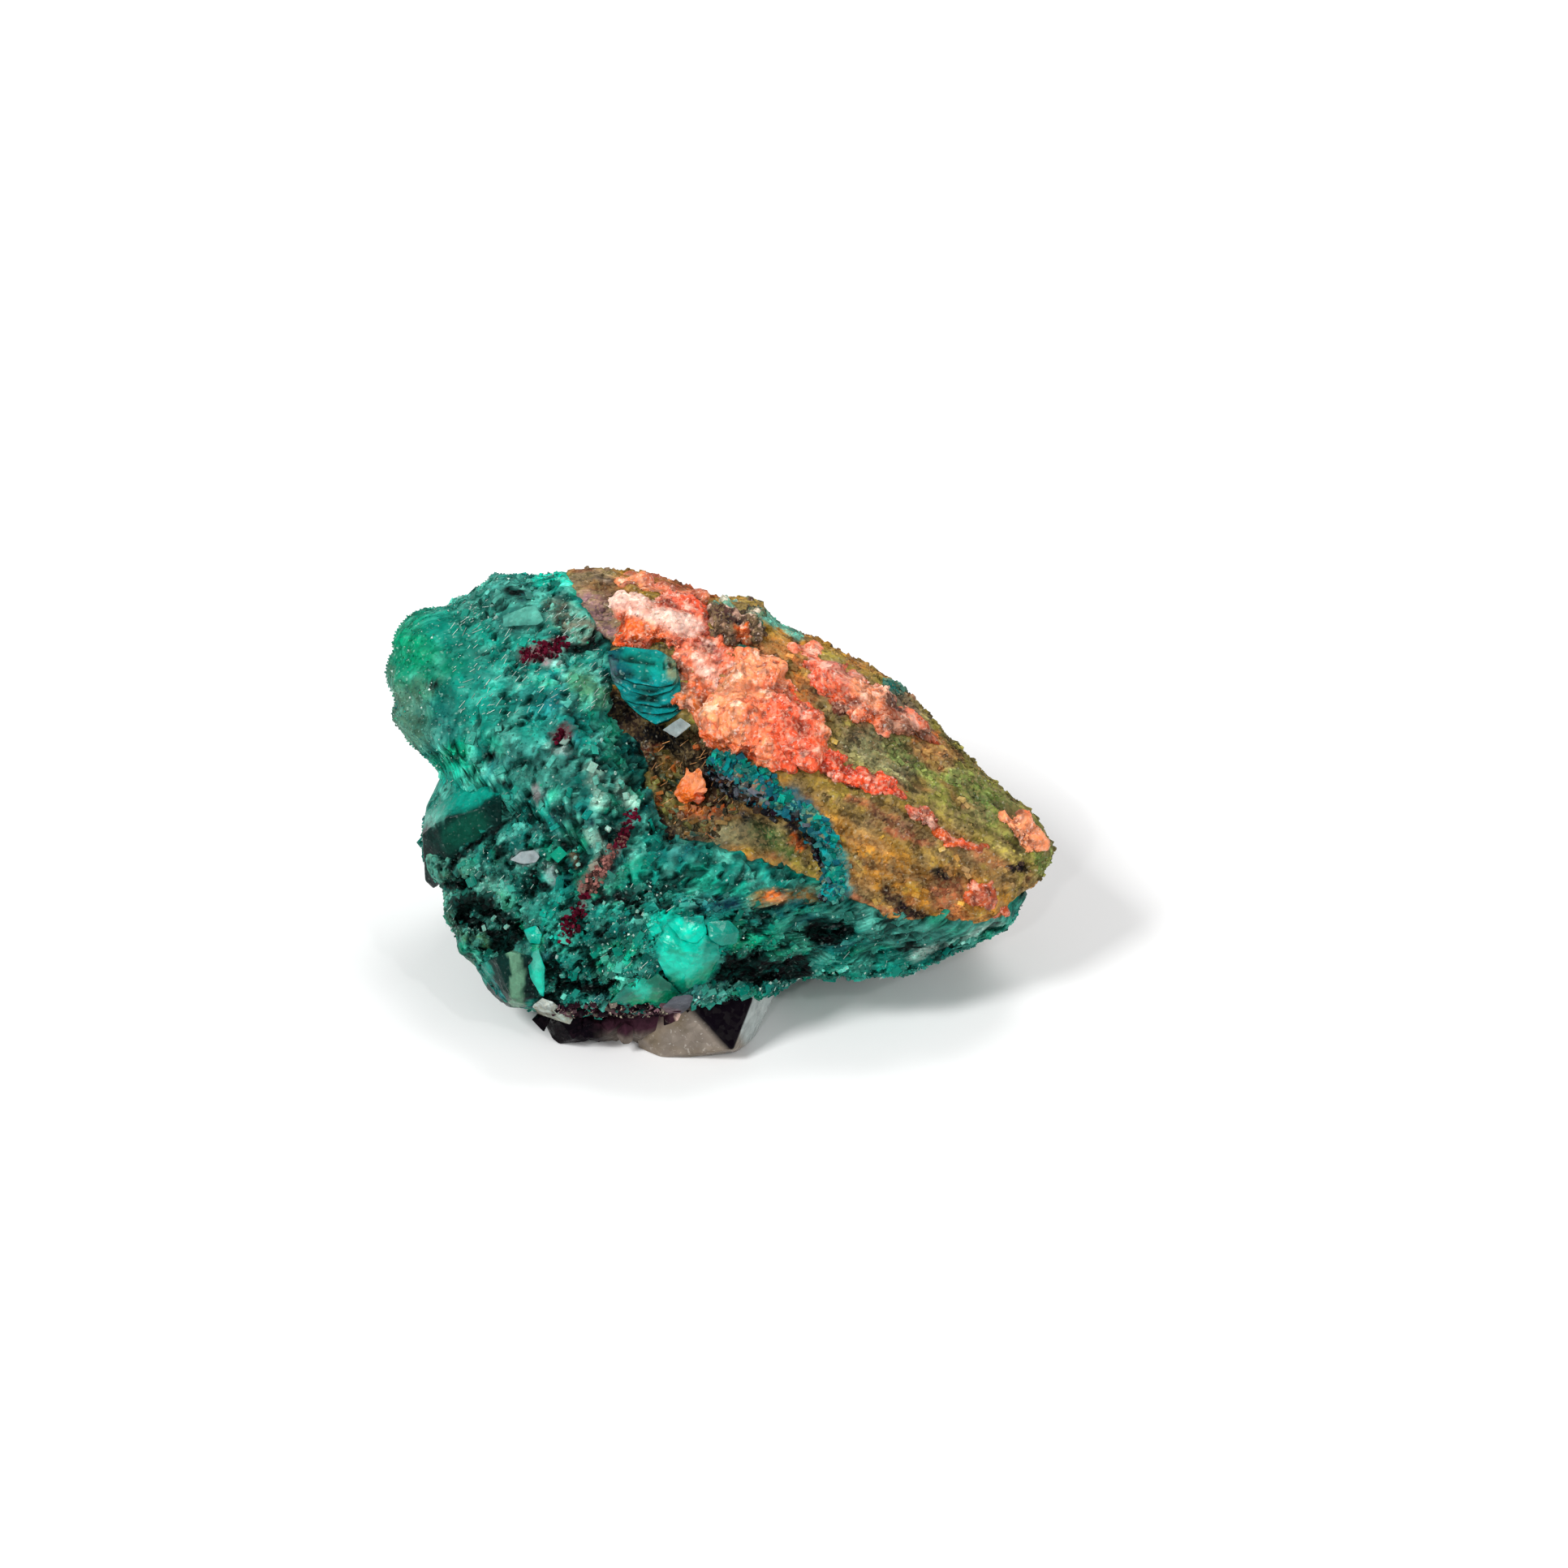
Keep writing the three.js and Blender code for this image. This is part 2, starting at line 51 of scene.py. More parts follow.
# %% Face coordinates
MM = 0.001
FACE_RISE = np.radians(35.0)
ALONG_U = np.array([1.0, 0.0, 0.0])
ALONG_V = np.array([0.0, np.sin(FACE_RISE), np.cos(FACE_RISE)])
ALONG_N = np.array([0.0, -np.cos(FACE_RISE), np.sin(FACE_RISE)])
ORIGIN_SHIFT = np.array([0.11, 0.87, 0.0])


def on_face(u, v, n):
    """Point in mm = u times ALONG_U plus v times ALONG_V plus n times ALONG_N."""
    return np.multiply.outer(u, ALONG_U) + np.multiply.outer(v, ALONG_V) + np.multiply.outer(n, ALONG_N)


def ease(low, high, x):
    """Smooth step: 3t^2 - 2t^3 with t running from 0 at low to 1 at high."""
    t = np.clip((x - low) / (high - low), 0.0, 1.0)
    return t * t * (3.0 - 2.0 * t)


def mix(a, b, t):
    """a where t is 0 and b where t is 1, in a straight line between."""
    return a + (b - a) * t


print("out of the face:", ALONG_N.round(3))

# %% [markdown]
# ## Random fields
# Rock is rough at every size. `noise` blends random numbers held at the corners of a lattice, and
# `fractal` adds ever finer copies. They are hashes, the same in every run. Blender's own textures
# could not bend the mesh as well as tint it.

# %% Random numbers on a lattice
def random_at(cell, salt):
    """Hash of three whole numbers and a salt to a number in 0..1."""
    primes = np.array([0x8DA6B343, 0xD8163841, 0xCB1AB31F], dtype=np.uint32)
    parts = cell.astype(np.int64).astype(np.uint32) * primes
    h = parts[..., 0] ^ parts[..., 1] ^ parts[..., 2] ^ np.uint32((salt * 0x9E3779B1) & 0xFFFFFFFF)
    h ^= h >> np.uint32(15)
    h *= np.uint32(0x2C1B3C6D)
    h ^= h >> np.uint32(12)
    h *= np.uint32(0x297A2D39)
    h ^= h >> np.uint32(15)
    return h.astype(np.float64) / 4294967296.0


CORNERS = np.array([[i, j, k] for i in (0, 1) for j in (0, 1) for k in (0, 1)])


def noise(p, size, salt=0):
    """Random lattice values in -1..1, blended by smooth weights across each cell."""
    q = p / size
    cell = np.floor(q).astype(np.int64)
    f = q - cell
    f = f * f * (3.0 - 2.0 * f)
    total = np.zeros(p.shape[:-1])
    for corner in CORNERS:
        total += np.prod(np.where(corner, f, 1.0 - f), axis=-1) * random_at(cell + corner, salt)
    return 2.0 * total - 1.0


def fractal(p, size, salt=0, octaves=3, fall=0.5):
    """Sum of noise at size, size/2, size/4 ... each weaker by the factor fall."""
    return sum(noise(p, size / 2**k, salt + k) * fall**k for k in range(octaves))


def unit(x):
    """x divided by its own length."""
    return x / np.maximum(np.linalg.norm(x, axis=-1, keepdims=True), 1e-12)


print("noise at the origin:", noise(np.zeros((1, 3)), 1.0))

# %% [markdown]
# ## Facets
# A crust of cleavable crystals shows flat faces that meet in sharp edges. This field is the upper
# envelope of small tilted boxes, and it also says which box a point lies on.

# %% Facets
def random_vector(cell, salt):
    """Three lattice random numbers in -1..1."""
    return 2.0 * np.stack([random_at(cell, salt + k) for k in range(3)], axis=-1) - 1.0


def facets(p, size, salt=0, squash=0.75):
    """Greatest of (half size of box i - distance in box i's own tilted axes); also its id."""
    q = p / size
    base = np.floor(q - 0.5).astype(np.int64)
    best = np.full(p.shape[:-1], -9.0)
    who = np.zeros(p.shape[:-1])
    for corner in CORNERS:
        cell = base + corner
        centre = cell + 0.5 + 0.25 * random_vector(cell, salt)
        a = unit(random_vector(cell, salt + 3))
        b = unit(np.cross(a, random_vector(cell, salt + 6) + [0.01, 0.02, 0.03]))
        c = np.cross(a, b)
        d = q - centre
        reach = [np.abs((d * axis).sum(-1)) * k for axis, k in ((a, 1.0), (b, 1.0), (c, squash))]
        height = 0.42 + 0.4 * random_at(cell, salt + 9) - np.maximum.reduce(reach)
        who = np.where(height > best, random_at(cell, salt + 10), who)
        best = np.maximum(best, height)
    return best * size, who


print("facet at the origin:", facets(np.zeros((1, 3)), 1.0))

# %% [markdown]
# ## The shape of the whole rock
# The rock is a cushion: a closed rim, a crowned front and a deep broken back. The solid was drawn
# from the same numbers, so the fine skin lies on it.

# %% Rim
RIM_CENTRE = np.array([0.0, 10.5])
RIM_POINTS = [
    [-25, 20.9], [-24.8, 22.4], [-24.5, 22.9], [-24.6, 23.6], [-24.3, 24.5], [-23.5, 25.5], [-22.6, 26],
    [-20.4, 26.4], [-19.7, 27], [-18.9, 27.1], [-17.5, 28.3], [-16.9, 28.7], [-15.6, 28.6],
    [-13.5, 28.6], [-11.5, 29], [-8.8, 29.1], [-5.4, 28.8], [-2.7, 27.8], [-0.4, 27], [1.6, 26.9],
    [3.2, 26.5], [4.3, 24.9], [7, 24], [10.3, 22.3], [12.6, 20.8], [14.5, 19.3], [17.2, 16.4],
    [20.6, 13], [23.1, 10.9], [24.4, 9.1], [24.9, 7.6], [23.6, 5.6], [22.4, 4.2], [21.3, 2.2],
    [17.8, 0.6], [13.6, -1.3], [9.2, -1.5], [6.3, -1.5], [4.1, -2.6], [0.8, -3.5], [-3.5, -3.9],
    [-7.7, -4.1], [-11.3, -4.2], [-14.4, -3.7], [-16.3, -2.9], [-17.6, -1], [-18.3, 0.1], [-19.3, 0.5],
    [-19.6, 1.8], [-20.4, 3], [-20.6, 4.9], [-21.9, 6.6], [-22.1, 10.4], [-21, 13.2], [-21.2, 14],
    [-22.7, 15.5], [-24.1, 17.1], [-24.5, 18.2], [-24.3, 19.2],
]
RIM_LEAN = 0.227
RIM_LEVEL = 9.7
FRONT_BULGE = 8.0
BACK_BULGE = 17.0


def smooth_loop(points, steps=12):
    """Closed curve through the points: each stretch is a cubic with slopes (next - last) / 2."""
    p = np.asarray(points, dtype=float)
    t = (np.arange(steps) / steps)[:, None]
    a, b, c, d = (np.roll(p, k, axis=0)[:, None] for k in (1, 0, -1, -2))
    curve = b + 0.5 * t * (c - a + t * (2 * a - 5 * b + 4 * c - d + t * (3 * (b - c) + d - a)))
    return curve.reshape(-1, p.shape[1])


def radius_about(points, centre):
    """A function that gives the loop's distance from a centre in the direction of an angle."""
    loop = smooth_loop(points) - centre
    angle = np.arctan2(loop[:, 1], loop[:, 0])
    order = np.argsort(angle)
    angle, radius = angle[order], np.hypot(*loop[order].T)
    return lambda phi: np.interp(phi, angle, radius, period=2 * np.pi)


rim_radius = radius_about(RIM_POINTS, RIM_CENTRE)
print("rim runs from", np.min(RIM_POINTS, axis=0), "to", np.max(RIM_POINTS, axis=0))

# %% [markdown]
# ## Dents and swells
# The larger forms of the front are a short list: a stretch on the face, a radius, and a height
# that falls off smoothly. A negative height is a dent.

# %% Relief of the front
RELIEF = [
    [-6.8, 17.4, -2.2, 11.6, 3.8, -4.6],  # recess between the green mass and the slab
    [0, 9.6, 7, 6.6, 2.8, -2.2],  # ledge below the slab's broken edge
    [-10.6, 18, -9.6, 9, 3.6, 0.9],  # shoulder on the green side of the recess
    [-6, 1, -1, 1.6, 4.2, 1.3],  # bulge that carries the bright crystals
    [-18.4, 3.2, -16.8, 1.8, 1.7, -1.8],  # cavity low on the left
    [6.6, 2.1, 8.6, 2.3, 1.5, -1.9],  # cavity under the slab
    [13.4, 2.2, 13.6, 2.2, 2.2, 1.5],  # round lump under the slab
    [9, -0.2, 20, 0.8, 3, -2.6],  # undercut below the slab's lower edge
    [-0.5, -1.2, 5.5, -0.8, 1.6, -1.4],  # hollow beside the bright crystals
    [-18.8, 19, -18.4, 14.6, 1.7, -0.8],  # groove behind the left lobe
    [-8.4, 24.8, -9.6, 22.6, 1.8, -1.3],  # crevice under the brown patch
]


def stretch_distance(u, v, u1, v1, u2, v2):
    """Distance on the face from (u, v) to the straight stretch between two points."""
    du, dv = u2 - u1, v2 - v1
    t = np.clip(((u - u1) * du + (v - v1) * dv) / (du * du + dv * dv + 1e-9), 0.0, 1.0)
    return np.hypot(u - u1 - t * du, v - v1 - t * dv)


def relief(u, v):
    """Sum over the list of height times (1 - (distance / radius)^2)^2."""
    total = np.zeros(np.shape(u))
    for u1, v1, u2, v2, radius, height in RELIEF:
        d = np.minimum(stretch_distance(u, v, u1, v1, u2, v2) / radius, 1.0)
        total += height * (1.0 - d * d) ** 2
    return total


print("relief in the recess:", relief(np.array(-4.0), np.array(14.0)).round(2), "mm")


# %% Heights of front and back
def rim_level(v):
    """n of the rim's plane: it falls back as v runs up the face."""
    return RIM_LEVEL - RIM_LEAN * v


def crown_at(u, v):
    """Height of a unit dome over the rim: root of (1 - (distance / rim radius)^2)."""
    du, dv = u - RIM_CENTRE[0], v - RIM_CENTRE[1]
    share = np.hypot(du, dv) / rim_radius(np.arctan2(dv, du))
    return np.sqrt(np.clip(1.0 - share * share, 0.0, 1.0))


def front_level(u, v):
    """Rim level plus bulge times crown^0.7 plus the relief, which fades out at the rim."""
    crown = crown_at(u, v)
    return rim_level(v) + FRONT_BULGE * crown**0.7 + relief(u, v) * ease(0.0, 0.35, crown)


def back_level(u, v):
    """Rim level minus the deeper bulge of the back times crown^0.8."""
    return rim_level(v) - BACK_BULGE * crown_at(u, v) ** 0.8


print("front and back in the middle:", front_level(*RIM_CENTRE), back_level(*RIM_CENTRE))


# %% [markdown]
# ## The broken back
# Hidden sides are broken rock. Points past a break plane are laid back onto it, and the underside
# is lifted off the table apart from two feet.

# %% Breaks and feet
BREAKS = [
    [0.75, 0.62, 0.2, 19.6], [-0.7, 0.66, 0.25, 21.5], [0.2, 0.75, 0.62, 24.6], [0.55, 0.2, -0.8, 8.6],
    [-0.6, 0.1, -0.79, 9.4], [-0.1, 0.7, -0.7, 8.2], [0.9, -0.1, -0.42, 15.2], [0, -0.5, -0.86, 5.6],
    [0.62, 0.35, 0.7, 24.9], [0.05, 1, 0.03, 14.2],
]
UNDERSIDE = 1.3
FEET = [[-8.5, 6.5, 3.6], [8.5, 6, 3.6]]
FOOT_TOP = 5.0


def broken(p):
    """Moves each point past a plane back along the plane's normal, to a slightly rough plane."""
    p = p.copy()
    for x, y, z, distance in BREAKS:
        normal = unit(np.array([x, y, z]))
        past = p @ normal - distance - 0.35 * fractal(p, 3.0, 71) - 0.25 * noise(p, 0.9, 75)
        p -= np.maximum(past, 0.0)[..., None] * normal
    return p


def standing(p):
    """Raises what hangs under the underside, and draws the rock down to z = 0 at the feet."""
    p = p.copy()
    nearest = np.min([np.hypot(p[..., 0] - x, p[..., 1] - y) / r for x, y, r in FEET], axis=0)
    foot = np.where(p[..., 2] < FOOT_TOP, 1.0 - ease(0.6, 1.4, nearest), 0.0)
    rough = UNDERSIDE + 0.5 * np.abs(fractal(p, 3.0, 81))
    p[..., 2] = np.maximum(mix(np.maximum(p[..., 2], rough), -0.7, foot), 0.0)
    return p


print(len(BREAKS), "break planes and", len(FEET), "feet")


# %% [markdown]
# ## From a grid to a closed skin
# A square grid bends smoothly into a disc. Two discs share their edge and close into a cushion
# with no pole. Rings are spaced by length along the profile, so the steep rim gets as many points
# as the middle.

# %% Cushion grid
def disc_grid(count):
    """Square (a, b) in -1..1 to the disc (a*root(1-b^2/2), b*root(1-a^2/2)), as radius and angle."""
    a, b = np.meshgrid(np.linspace(-1, 1, count), np.linspace(-1, 1, count), indexing="ij")
    x, y = a * np.sqrt(1 - b * b / 2), b * np.sqrt(1 - a * a / 2)
    return np.minimum(np.hypot(x, y), 1.0), np.arctan2(y, x)


def even_spread(r, rise):
    """Share s of the way to the rim so that steps in r are even along a profile of that rise."""
    s = np.sin(np.linspace(0, np.pi / 2, 600))
    height = rise * np.sqrt(1 - s * s) ** 0.75
    length = np.concatenate([[0], np.cumsum(np.hypot(np.diff(s), np.diff(height)))])
    return np.interp(r, length / length[-1], s)


def cushion_faces(count):
    """Quads of the front grid and of the back grid, whose edge points are the front's own."""
    front = np.arange(count * count).reshape(count, count)
    back = front + count * count
    for edge in (np.s_[0, :], np.s_[-1, :], np.s_[:, 0], np.s_[:, -1]):
        back[edge] = front[edge]

    def quads(grid):
        """Four neighbours of the grid for each of its cells."""
        return np.stack([grid[:-1, :-1], grid[1:, :-1], grid[1:, 1:], grid[:-1, 1:]], -1).reshape(-1, 4)

    return np.concatenate([quads(front), quads(back)[:, ::-1]])


print("a grid of 4 x 4 points closes with", len(cushion_faces(4)), "quads")

# %% [markdown]
# ## Bookkeeping of a skin
# Points that no face uses are dropped. A point's normal is the sum of the normals round it, so
# larger faces count for more.

# %% Points and normals
def packed(points, faces, *fields):
    """Drops points that no face uses and numbers the rest anew; fields follow their points."""
    used = np.unique(faces)
    number = np.zeros(len(points), dtype=np.int64)
    number[used] = np.arange(len(used))
    return (points[used], number[faces], *[f[used] for f in fields])


def vertex_normals(points, faces):
    """Sum of the normals of the quads or triangles round each point, made unit length."""
    face_normal = np.cross(points[faces[:, 2]] - points[faces[:, 0]],
                           points[faces[:, -1]] - points[faces[:, 1]])
    total = np.stack([
        sum(np.bincount(faces[:, k], face_normal[:, axis], len(points)) for k in range(faces.shape[1]))
        for axis in range(3)
    ], axis=-1)
    return unit(total)


print("normal of the corner triangle:", vertex_normals(np.eye(3), np.array([[0, 1, 2]]))[0].round(3))


# %% [markdown]
# ## Putting arrays into Blender
# `foreach_set` copies whole arrays into a mesh. Colours travel with it as point attributes. A
# piece also names the node it replaces, which is then hidden, and carries its material.

# %% Mesh from arrays
def linear(colour):
    """Screen colour 0..255 to the linear 0..1 that shaders use: ((c + 0.055) / 1.055)^2.4."""
    c = np.asarray(colour, dtype=float) / 255.0
    return np.where(c <= 0.04045, c / 12.92, ((c + 0.055) / 1.055) ** 2.4)


def linked(name, data):
    """Object with that data, put into the scene."""
    made = bpy.data.objects.new(name, data)
    bpy.context.scene.collection.objects.link(made)
    return made


def make_piece(name, place, points, faces, material, tint, marks, smooth=True):
    """Piece for a (node, slot), the slot not used: points in mm, quads or triangles, tint and marks per
    point or one.
    """
    mesh = bpy.data.meshes.new(name)
    mesh.from_pydata([], [], [])
    size = faces.shape[1]
    mesh.vertices.add(len(points))
    mesh.loops.add(faces.size)
    mesh.polygons.add(len(faces))
    mesh.vertices.foreach_set("co", ((points + ORIGIN_SHIFT) * MM).astype(np.float32).ravel())
    mesh.loops.foreach_set("vertex_index", faces.astype(np.int32).ravel())
    mesh.polygons.foreach_set("loop_start", np.arange(0, faces.size, size, dtype=np.int32))
    mesh.update(calc_edges=True)
    mesh.validate()
    mesh.polygons.foreach_set("use_smooth", np.ones(len(mesh.polygons), dtype=bool) & smooth)
    for label, values in (("tint", tint), ("marks", np.clip(marks, 0, 1))):
        full = np.ones((len(points), 4), dtype=np.float32)
        full[:, :3] = values
        mesh.attributes.new(label, "FLOAT_COLOR", "POINT").data.foreach_set("color", full.ravel())
    mesh.materials.append(material)
    piece = linked(name, mesh)
    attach(piece, "root")
    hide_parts(place[0])
    print(f"{name}: {len(points)} points, {len(faces) * (size - 2)} triangles")


ON_MASS = ("dioptase_mass", "dioptase")
ON_SLAB = ("host_rock", "host_rock")
ON_CLUSTER = ("dark_cluster", "dark_druse")

# %% [markdown]
# ## Colours by name
# Each mineral has a few tones, named here once, in the screen's 0 to 255.

# %% Palette
PALETTE = {
    "emerald": (6, 128, 96), "jade": (0, 152, 104), "sea": (10, 136, 118), "teal": (14, 102, 94),
    "deep": (8, 66, 60), "pitch": (4, 18, 18), "turquoise": (6, 156, 134), "bright": (0, 188, 160),
    "aqua": (8, 128, 128), "seafoam": (88, 168, 150), "sage": (62, 124, 112), "mint": (150, 190, 172),
    "fern": (84, 134, 88), "lichen": (84, 124, 100), "olive": (134, 118, 54), "dun": (124, 98, 62),
    "moss": (122, 122, 60), "leaf": (112, 136, 64), "forest": (40, 74, 34), "khaki": (128, 128, 92),
    "chartreuse": (150, 146, 50), "ochre": (160, 106, 32), "amber": (190, 108, 44),
    "rust": (200, 88, 26), "brick": (176, 88, 60), "vermilion": (204, 58, 18), "brown": (88, 64, 46),
    "drab": (112, 100, 84), "umber": (52, 36, 28), "maroon": (96, 18, 40), "rose": (156, 104, 96),
    "bottle": (2, 32, 28), "mauve": (128, 96, 104), "grape": (22, 8, 20), "peach": (244, 160, 112),
    "cream": (244, 178, 130), "coral": (232, 84, 40), "orange": (240, 112, 36), "pink": (236, 128, 96),
    "blush": (242, 206, 190), "taupe": (124, 114, 104), "slate": (84, 88, 96), "lilac": (132, 142, 144),
    "navy": (12, 44, 64), "petrol": (20, 88, 102), "frosty": (172, 196, 186), "grey": (160, 168, 166),
    "black": (8, 4, 10), "plum": (52, 28, 38),
}
TONE = {name: linear(rgb) for name, rgb in PALETTE.items()}
print(len(TONE), "tones")

# %% [markdown]
# ## Laying tones on
# A patch is full within its radius and fades over a soft edge. Noise moves the place that is
# looked up, which frays the edge as on a real mineral.

# %% Patches
def paint(p, u, v, base, patches, salt=5):
    """Base tone, then each patch: full within its radius, and gone past a noisy soft edge."""
    tint = np.broadcast_to(base, p.shape).copy()
    wu = u + 0.3 * fractal(p, 1.5, salt, 4) + 0.18 * noise(p, 0.3, salt + 7)
    wv = v + 0.3 * fractal(p, 1.5, salt + 13, 4) + 0.18 * noise(p, 0.3, salt + 8)
    for u1, v1, u2, v2, radius, tone, strength, *softness in patches:
        soft = softness[0] if softness else 0.5
        d = stretch_distance(wu, wv, u1, v1, u2, v2) / radius
        m = strength * (1.0 - ease(1.0 - soft, 1.0 + soft, d))
        tint = mix(tint, TONE[tone], m[..., None])
    return tint


def lightness(tint):
    """0 where a tone is black and 1 from a dark tone upwards."""
    return ease(0.008, 0.05, tint.mean(axis=1))


def toward(tint, name, share):
    """Tint some way towards the tone of that name, with one share per point."""
    return mix(tint, TONE[name], share[:, None])


def shaded(tint, *shares):
    """Tint times 1 + strength * (2 * share - 1) for each (share, strength)."""
    factor = np.ones(len(tint))
    for share, strength in shares:
        factor = factor * (1.0 + strength * (2.0 * share - 1.0))
    return tint * np.maximum(factor, 0.0)[:, None]


print("black counts as", lightness(TONE["black"][None])[0], "and jade as", lightness(TONE["jade"][None])[0])

# %% [markdown]
# ## Shader groups
# Crystals sparkle because every tiny face points its own way. The group `Mineral grain` gives
# each small cell its own shade and its own tilt of the normal.

# %% Node helpers
def node(tree, kind, settings=None, **inputs):
    """Adds a node; inputs are named, or i0, i1 ... by place, and are values or sockets to link."""
    made = tree.nodes.new(kind)
    for key, value in (settings or {}).items():
        setattr(made, key, value)
    for key, value in inputs.items():
        place = int(key[1:]) if key[0] == "i" and key[1:].isdigit() else key.replace("_", " ")
        if isinstance(value, bpy.types.NodeSocket):
            tree.links.new(value, made.inputs[place])
        else:
            made.inputs[place].default_value = value
    return made


def ranged(tree, value, start, stop, low, high):
    """Value from start..stop, spread over low..high."""
    return node(tree, "ShaderNodeMapRange", i0=value, i1=start, i2=stop, i3=low, i4=high).outputs[0]


def maths(tree, operation, *values):
    """Result of one operation on numbers."""
    inputs = {f"i{k}": value for k, value in enumerate(values)}
    return node(tree, "ShaderNodeMath", {"operation": operation}, **inputs).outputs[0]


def scaled(tree, colour, factor):
    """Colour or vector times a number."""
    return node(tree, "ShaderNodeVectorMath", {"operation": "SCALE"}, i0=colour, Scale=factor).outputs[0]


def blended(tree, share, one, two):
    """Colour one, or so much of colour two as the share says."""
    mixed = node(tree, "ShaderNodeMix", {"data_type": "RGBA"}, i0=share, i6=one, i7=(*two, 1.0))
    return mixed.outputs[2]


print("helpers:", node.__name__, ranged.__name__, maths.__name__, scaled.__name__, blended.__name__)

# %% [markdown]
# ## Grains
# It is a group because every material needs it twice, coarse and fine.

# %% Group for the grains
def grain_group():
    """Cells at Scale in Place: Shade and Chip 0..1 per cell, and the normal tilted per cell."""
    group = bpy.data.node_groups.new("Mineral grain", "ShaderNodeTree")
    for name, kind, way in (
        ("Place", "Vector", "INPUT"), ("Scale", "Float", "INPUT"), ("Tilt", "Float", "INPUT"),
        ("Shade", "Float", "OUTPUT"), ("Chip", "Float", "OUTPUT"), ("Normal", "Vector", "OUTPUT"),
    ):
        group.interface.new_socket(name, in_out=way, socket_type=f"NodeSocket{kind}")
    inside, outside = group.nodes.new("NodeGroupInput"), group.nodes.new("NodeGroupOutput")
    warp = node(group, "ShaderNodeTexNoise", Vector=inside.outputs["Place"], Scale=1300.0, Detail=2.0)
    bend = node(group, "ShaderNodeVectorMath", {"operation": "MULTIPLY_ADD"},
                i0=warp.outputs["Color"], i1=(0.0003, 0.0003, 0.0003), i2=inside.outputs["Place"])
    cells = node(group, "ShaderNodeTexVoronoi", Vector=bend.outputs[0], Scale=inside.outputs["Scale"])
    split = node(group, "ShaderNodeSeparateColor", i0=cells.outputs["Color"])
    sway = node(group, "ShaderNodeVectorMath", {"operation": "SUBTRACT"},
                i0=cells.outputs["Color"], i1=(0.5, 0.5, 0.5))
    lean = scaled(group, sway.outputs[0], inside.outputs["Tilt"])
    facing = node(group, "ShaderNodeNewGeometry").outputs["Normal"]
    total = node(group, "ShaderNodeVectorMath", {"operation": "ADD"}, i0=facing, i1=lean)
    whole = node(group, "ShaderNodeVectorMath", {"operation": "NORMALIZE"}, i0=total.outputs[0])
    group.links.new(split.outputs[0], outside.inputs["Shade"])
    group.links.new(split.outputs[1], outside.inputs["Chip"])
    group.links.new(whole.outputs[0], outside.inputs["Normal"])
    return group


GRAIN = grain_group()
print("shader group:", GRAIN.name)
